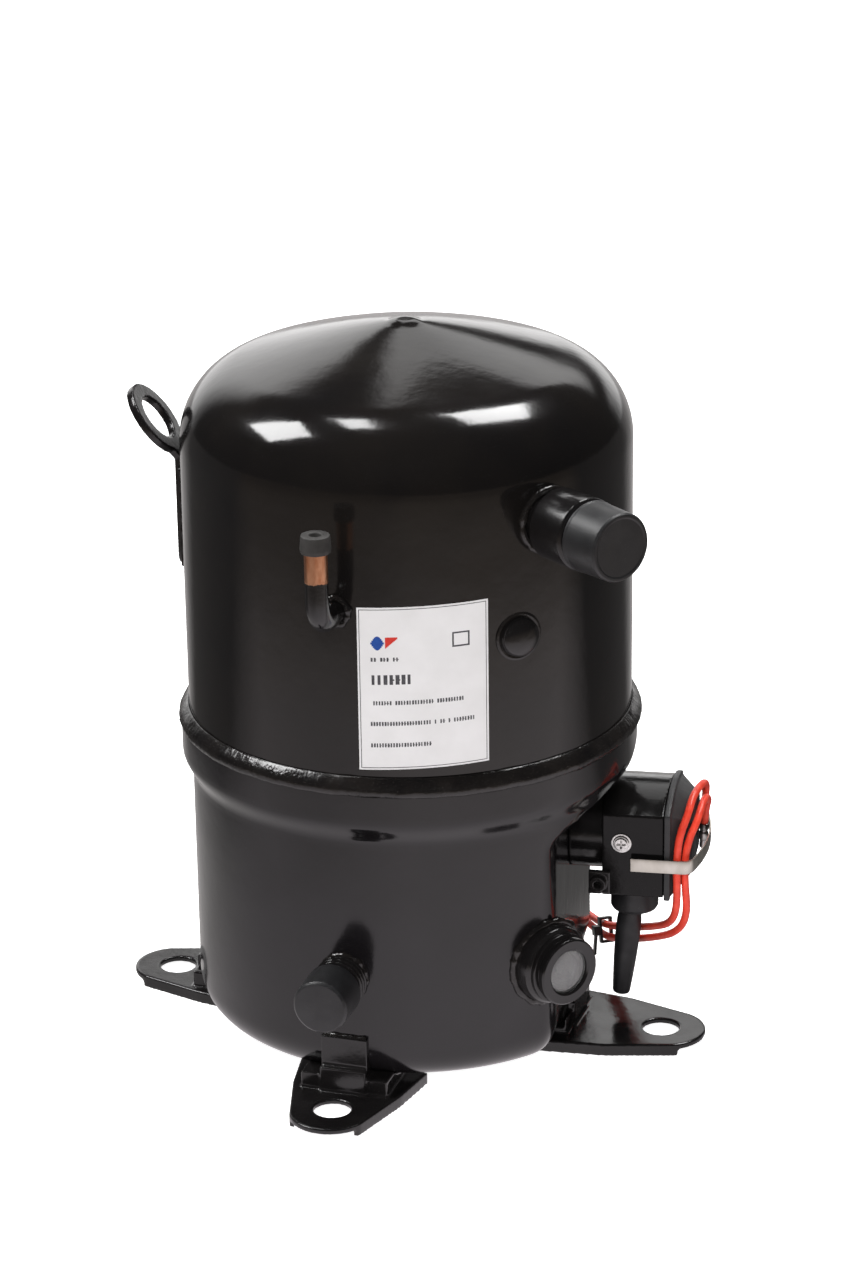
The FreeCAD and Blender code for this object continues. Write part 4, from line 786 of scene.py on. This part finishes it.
def strap():
    """A spring band: two legs, rounded corners and a bowed front, with a rolled hinge end."""
    side, corner_x, mid_x, width, thick = STRAP_SIDE, 149.0, 156.0, 7.5, 0.8
    z0, tilt = STRAP_Z - width / 2, math.radians(5.5)
    bow = [(corner_x + (mid_x - corner_x) * (1 - (y / side) ** 2), y)
           for y in [-side + 2 * side * k / 24 for k in range(25)]]
    line = [(118.8, -side + 1.0), (118.4, -side + thick / 2), (corner_x, -side + thick / 2)]
    line += [(x - thick / 2, y) for x, y in bow if abs(y) < side - 6]
    line += [(corner_x, side - thick / 2), (HINGE_X + 1.2, side - thick / 2)]
    radii = [0, 0.3, 8.0] + [0] * (len(line) - 5) + [8.0, 0]
    line = [Vector(p) for p in roundness(line, radii, 8)]
    points, faces = [], []
    for i, p in enumerate(line):
        ahead = line[min(i + 1, len(line) - 1)] - line[max(i - 1, 0)]
        out = Vector((ahead.y, -ahead.x)).normalized() * (thick / 2)
        for z, inset in ((z0, 0.12), (z0 + 0.18, 0.0), (z0 + width - 0.18, 0.0), (z0 + width, 0.12)):
            q = p + out * (1 - inset * 2)
            points.append((q.x, q.y, z))
        for z, inset in ((z0 + width, 0.12), (z0 + width - 0.18, 0.0), (z0 + 0.18, 0.0), (z0, 0.12)):
            q = p - out * (1 - inset * 2)
            points.append((q.x, q.y, z))
    for i in range(len(line) - 1):
        for j in range(8):
            n = (j + 1) % 8
            faces.append((8 * i + j, 8 * i + n, 8 * i + 8 + n, 8 * i + 8 + j))
    faces += [tuple(range(8)), tuple(8 * (len(line) - 1) + j for j in range(8))]
    lean = (TERMINAL @ Matrix.Translation((0, -side, STRAP_Z)) @ Matrix.Rotation(tilt, 4, "X")
            @ Matrix.Translation((0, side, -STRAP_Z)))
    band = raw_mesh("strap_band", points, faces, lean)
    barrel = turned("barrel", [(0.95, -1.0), (1.5, -1.0), (1.5, 8.5), (0.95, 8.5)], [0.1, 0.2, 0.2, 0.1], 3, 32,
                    lean @ Matrix.Translation((HINGE_X, side - thick / 2, z0)), closed=True)
    piece("strap_band", band, "nickel", "strap", ["cover_strap"])
    piece("strap_barrel", barrel, "nickel", "strap")


# ---------------------------------------------------------------- leads
LEAD_A = [(-6.4, 133.0, 42.3), (12, 133, 40), (36, 126, 32), (57, 113, 23), (75, 98, 18),
          (88, 77, 20), (97, 57, 27), (107, 38, 36), (117, 18, 45.5), (128.5, 0, 55),
          (136.5, -14, 63.5), (141, -24.5, 74), (142.3, -29.9, 88), (141.7, -29.6, 104),
          (142.8, -29.5, 119), (146.8, -24.2, 130.0), (148.0, -15, 135.2), (150.0, -6, 137),
          (152.0, 4, 136.2), (152.4, 11.5, 131.5), (151.7, 14.5, 124), (151.4, 14.5, 115)]
LEAD_B = [(-6.4, 133.0, 37.7), (12, 133, 35.4), (36, 126, 27.4), (57, 113, 18.4), (75, 98, 13.0),
          (88, 77, 14.2), (97, 57, 20), (107.5, 38, 29), (118.5, 19, 38.5), (130.5, 3, 48),
          (138.5, -9, 56), (144.5, -18, 65.5), (146.8, -23.5, 77), (146.0, -26.4, 90),
          (145.4, -26.9, 104), (147.2, -25.3, 116), (151.2, -18.9, 124.7), (152.3, -9, 129.3),
          (153.4, -0.5, 130.0), (154.1, 6, 126.0), (152.5, 8.6, 120), (151.95, 8.6, 111)]


LEAD_R = 2.0


def smooth_path(name, points):
    """Points along the route's own spline, in metres."""
    curve = bpy.data.curves.new(name, "CURVE")
    curve.dimensions = "3D"
    curve.resolution_u = 10
    spline = curve.splines.new("NURBS")
    spline.points.add(len(points) - 1)
    for control, point in zip(spline.points, points):
        control.co = (*(TERMINAL @ Vector(point) * MM), 1.0)
    spline.order_u = 3
    spline.use_endpoint_u = True
    obj = bpy.data.objects.new(name, curve)
    bpy.context.scene.collection.objects.link(obj)
    bpy.context.view_layer.update()
    mesh = bpy.data.meshes.new_from_object(obj.evaluated_get(bpy.context.evaluated_depsgraph_get()))
    path = [v.co.copy() for v in mesh.vertices]
    bpy.data.objects.remove(obj)
    return path


def leads():
    """The two heater leads with their bullet ends, and the tie that holds them together."""
    ends, runs = {}, {}
    for name, points in (("lead_a", LEAD_A), ("lead_b", LEAD_B)):
        path = smooth_path(name + "_route", points)
        line = [p / MM for p in path]
        mesh = tube(name + "_insulated", line, LEAD_R, 16)
        last, axis = line[-1], (line[-1] - line[-2]).normalized()
        place = Matrix.Translation(last - axis * 0.4) @ axis.to_track_quat("Z", "Y").to_matrix().to_4x4()
        crimp = [(0, 0), (2.3, 0), (2.45, 0.5), (2.45, 3.0), (2.1, 3.6), (2.1, 4.6), (2.45, 5.2), (2.45, 8.6),
                 (1.7, 9.4), (1.7, 13.4), (1.0, 14.2), (0, 14.3)]
        radii = [0, 0.2, 0.2, 0.3, 0.3, 0.3, 0.3, 0.4, 0.3, 0.5, 0.4, 0]
        ends[name] = piece(name + "_crimp", turned("end", crimp, radii, 3, 32, place), "header_steel",
                           "cover", ["lead_ends"])
        runs[name] = (mesh, path)
    tie = piece("lead_tie_band", soften("lead_tie", 0.28, 2), "tie_nylon", "shell", ["lead_tie"],
                sharp=None)
    for name, (mesh, path) in runs.items():
        obj = piece(name + "_insulated", mesh, "red_silicone", None, [name], sharp=None)
        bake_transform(obj)


def springs():
    """The four coils, as one piece made from the CAD node's mesh."""
    mesh = frame["nodes"]["suspension_springs"].data.copy()
    obj = piece("suspension_spring_coils", mesh, "spring_steel", None, ["suspension_springs"])
    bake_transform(obj)


# ---------------------------------------------------------------- CAD nodes that stay
SLOT_LOOK = {
    "glass": "sight_glass", "header_steel": "header_steel", "spring_steel": "spring_steel",
    "plain_steel": "bright_steel", "grey_iron": "grey_iron", "forged_steel": "forged_steel",
    "lamination": "lamination", "winding_copper": "winding_copper", "cast_aluminium": "cast_aluminium",
    "ring_iron": "grey_iron", "rubber": "sleeve_rubber", "shell_paint": "fitting_paint",
}


def dress_frame():
    """Gives each CAD node that still shows the look of its material slot."""
    for part in frame["record"]["subparts"]:
        obj = frame["nodes"][part["node"]]
        look = SLOT_LOOK.get(part["material_slot"])
        if obj.hide_render or look is None:
            continue
        for place in obj.material_slots:
            place.material = MATERIAL[look]


# ---------------------------------------------------------------- stage, light and camera
BLACK = (0.0, 0.0, 0.0, 1.0)
# The lamps face this height on the axis, in metres
DOME_HEIGHT = 0.33


def floor():
    """A plain pale floor. What the gloss mirrors of it is dimmer with distance, as in the photograph."""
    mesh = bpy.data.meshes.new("studio_floor")
    half = 6.0
    corners = [(-half, -half, 0), (half, -half, 0), (half, half, 0), (-half, half, 0)]
    mesh.from_pydata(corners, [], [(0, 1, 2, 3)])
    m = Nodes("studio_floor")
    place = m.add("ShaderNodeNewGeometry").outputs["Position"]
    far = m.add("ShaderNodeVectorMath", {"operation": "LENGTH"}, i0=place).outputs["Value"]
    depth, rightward = m.along(place, AWAY), m.along(place, RIGHTWARD)
    # The mirror glow, which only reflections see, is painted light: a painted pool of light on the floor,
    # brightest round the object and dimmer with distance.
    stops = m.add("ShaderNodeValToRGB", i0=m.spread(far, 0.0, 1.0, 0.30, 2.2))
    ramp = stops.color_ramp
    ramp.elements[0].color, ramp.elements[1].color = (1.0, 0.93, 0.97, 1), (0.15, 0.125, 0.105, 1)
    for at, colour in ((0.19, (0.78, 0.71, 0.70, 1)), (0.305, (0.37, 0.32, 0.29, 1)),
                       (0.42, (0.26, 0.22, 0.185, 1))):
        ramp.elements.new(at).color = colour
    ahead = m.math("DIVIDE", depth, far)
    left = m.spread(rightward, 0.7, 1.0, -0.30, 0.0)
    front = m.mix(left, BLACK, stops.outputs["Color"])
    beyond = m.spread(ahead, 0.09, 0.52, 0.72, 0.94)
    near = m.spread(far, 0.0, 1.0, 0.30, 0.50)
    # A painted shadow: the mirror glow is darker to the right behind the object, where the terminal box, leads
    # and foot would shade the floor.
    painted_shadow_patch = m.spread(rightward, 0.50, 0.10, 0.07, 0.13)
    shade = m.math("ADD", m.math("MULTIPLY", near, m.math("SUBTRACT", beyond, painted_shadow_patch)), painted_shadow_patch)
    back = m.mix(shade, BLACK, (1.0, 0.96, 0.95, 1.0))
    glow = m.mix(m.spread(depth, 0.0, 1.0, -0.16, 0.06), front, back)
    mirror = m.add("ShaderNodeEmission", Color=glow, Strength=1.15)
    m.put(m.shader, "Base_Color", m.ramp(m.noise(6.0), (0.92, 0.92, 0.92), (0.95, 0.95, 0.95)))
    m.put(m.shader, "Roughness", 0.9)
    m.put(m.shader, "Specular_IOR_Level", 0.0)
    m.put(m.shader, "Emission_Color", (1.0, 1.0, 1.0, 1.0))
    m.put(m.shader, "Emission_Strength", 0.9)
    seen = m.add("ShaderNodeLightPath").outputs["Is Camera Ray"]
    both = m.add("ShaderNodeMixShader", i0=seen, i1=mirror.outputs["Emission"], i2=m.shader.outputs["BSDF"])
    m.tree.links.new(both.outputs["Shader"], m.tree.nodes["Material Output"].inputs["Surface"])
    mesh.materials.append(m.material)
    obj = bpy.data.objects.new("studio_floor", mesh)
    bpy.context.scene.collection.objects.link(obj)


def lamp(name, direction, across, wide, high, radiance, distance=3.0, mirrored=True):
    """A soft panel seen from the shell in a direction, with its width along across."""
    data = bpy.data.lights.new(name, "AREA")
    data.shape = "RECTANGLE"
    data.size, data.size_y = wide, high
    data.energy = radiance * math.pi * wide * high
    obj = bpy.data.objects.new(name, data)
    way = Vector(direction).normalized()
    side = Vector(across)
    side = (side - way * side.dot(way)).normalized()
    turn = Matrix((side, way.cross(side), way)).transposed().to_4x4()
    obj.matrix_world = Matrix.Translation(Vector((0, 0, DOME_HEIGHT)) + way * distance) @ turn
    obj.visible_glossy = mirrored
    bpy.context.scene.collection.objects.link(obj)


def world():
    """A white room to the camera. The gloss mirrors a dim one with a bright wall behind the object."""
    room = bpy.data.worlds.new("studio")
    bpy.context.scene.world = room
    room.use_nodes = True
    tree = room.node_tree
    tree.nodes.clear()

    def add(kind, settings=None, *values):
        node = tree.nodes.new(kind)
        for key, value in (settings or {}).items():
            setattr(node, key, value)
        for socket, value in zip(node.inputs, values):
            if isinstance(value, bpy.types.NodeSocket):
                tree.links.new(value, socket)
            elif value is not None:
                socket.default_value = value
        return node
    way = add("ShaderNodeTexCoord").outputs["Generated"]
    level = add("ShaderNodeVectorMath", {"operation": "MULTIPLY"}, way, (1.0, 1.0, 0.0)).outputs["Vector"]
    level = add("ShaderNodeVectorMath", {"operation": "NORMALIZE"}, level).outputs["Vector"]
    ahead = add("ShaderNodeVectorMath", {"operation": "DOT_PRODUCT"}, level, AWAY).outputs["Value"]
    across = add("ShaderNodeVectorMath", {"operation": "DOT_PRODUCT"}, level, RIGHTWARD).outputs["Value"]
    rise = add("ShaderNodeSeparateXYZ", None, way).outputs["Z"]
    smooth = {"interpolation_type": "SMOOTHSTEP"}

    def step(value, start, end, first=0.0, last=1.0):
        return add("ShaderNodeMapRange", smooth, value, start, end, first, last).outputs["Result"]

    def combine(operation, *values):
        return add("ShaderNodeMath", {"operation": operation}, *values).outputs["Value"]
    back = step(ahead, 0.70, 0.95)
    horizon = add("ShaderNodeMapRange", None, across, -0.20, 0.02, 0.60, 0.17).outputs["Result"]
    below = step(combine("SUBTRACT", rise, horizon), -0.05, 0.05, 1.0, 0.0)
    above = combine("MULTIPLY", step(rise, 0.31, 0.40),
                    step(combine("MULTIPLY_ADD", across, 0.6, rise), 0.735, 0.78, 1.0, 0.0))
    above = combine("MULTIPLY", above, step(across, -0.12, -0.03))
    wall = combine("MULTIPLY", combine("MAXIMUM", combine("MULTIPLY", below, 1.15), above), back)
    lift = add("ShaderNodeMath", {"operation": "MULTIPLY_ADD"}, wall, 1.45, 0.03)
    seen = add("ShaderNodeLightPath").outputs["Is Camera Ray"]
    strength = add("ShaderNodeMix", {"data_type": "FLOAT"}, seen, None, lift.outputs["Value"], 1.0)
    glow = add("ShaderNodeBackground", None, (1.0, 0.99, 0.985, 1.0), strength.outputs[0])
    out = add("ShaderNodeOutputWorld")
    tree.links.new(glow.outputs["Background"], out.inputs["Surface"])


def lights():
    """Three soft boxes that the dome mirrors, and a fill that it doesn't. Directions are as seen from it."""
    lamp("softbox_left", (-0.634, -0.144, 0.70), (0.77, 0.07, 0.63), 1.15, 1.05, 18.0)
    lamp("softbox_top", (-0.25, 0.04, 0.965), (0.93, 0.35, 0.20), 0.46, 0.80, 17.0)
    lamp("softbox_right", (0.24, 0.373, 0.844), (0.58, 0.69, -0.43), 1.05, 1.15, 18.0)
    lamp("fill_front", (0.25, -0.85, 0.46), (1.0, 0.3, 0.0), 2.0, 1.6, 6.5, mirrored=False)


def camera():
    """The camera fitted to the photograph: its place, how far it looks down, and its roll."""
    data = bpy.data.cameras.new("camera")
    data.lens, data.sensor_width = 107.8, 36.0
    data.shift_x, data.shift_y = 0.0129, 0.0258
    place, down, roll = Vector((0.577, -1.746, 0.900)), 0.3686, -0.0156
    level = Vector((-place.x, -place.y, 0)).normalized()
    ahead = level * math.cos(down) - Vector((0, 0, math.sin(down)))
    right = level.cross(Vector((0, 0, 1)))
    up = right.cross(ahead)
    right, up = right * math.cos(roll) + up * math.sin(roll), up * math.cos(roll) - right * math.sin(roll)
    obj = bpy.data.objects.new("camera", data)
    rotation = Matrix((right, up, -ahead)).transposed().to_4x4()
    obj.matrix_world = Matrix.Translation(place) @ rotation
    bpy.context.scene.collection.objects.link(obj)
    bpy.context.scene.camera = obj
    bpy.context.scene.view_settings.view_transform = "Standard"


paints()
camera()
leads()
upper_shell()
lower_shell()
girth_weld()
feet_and_eye()
process_tube()
suction_side()
discharge_side()
sight_glass()
safety_plug()
label()
terminal_pieces()
strap()
springs()
dress_frame()
floor()
world()
lights()
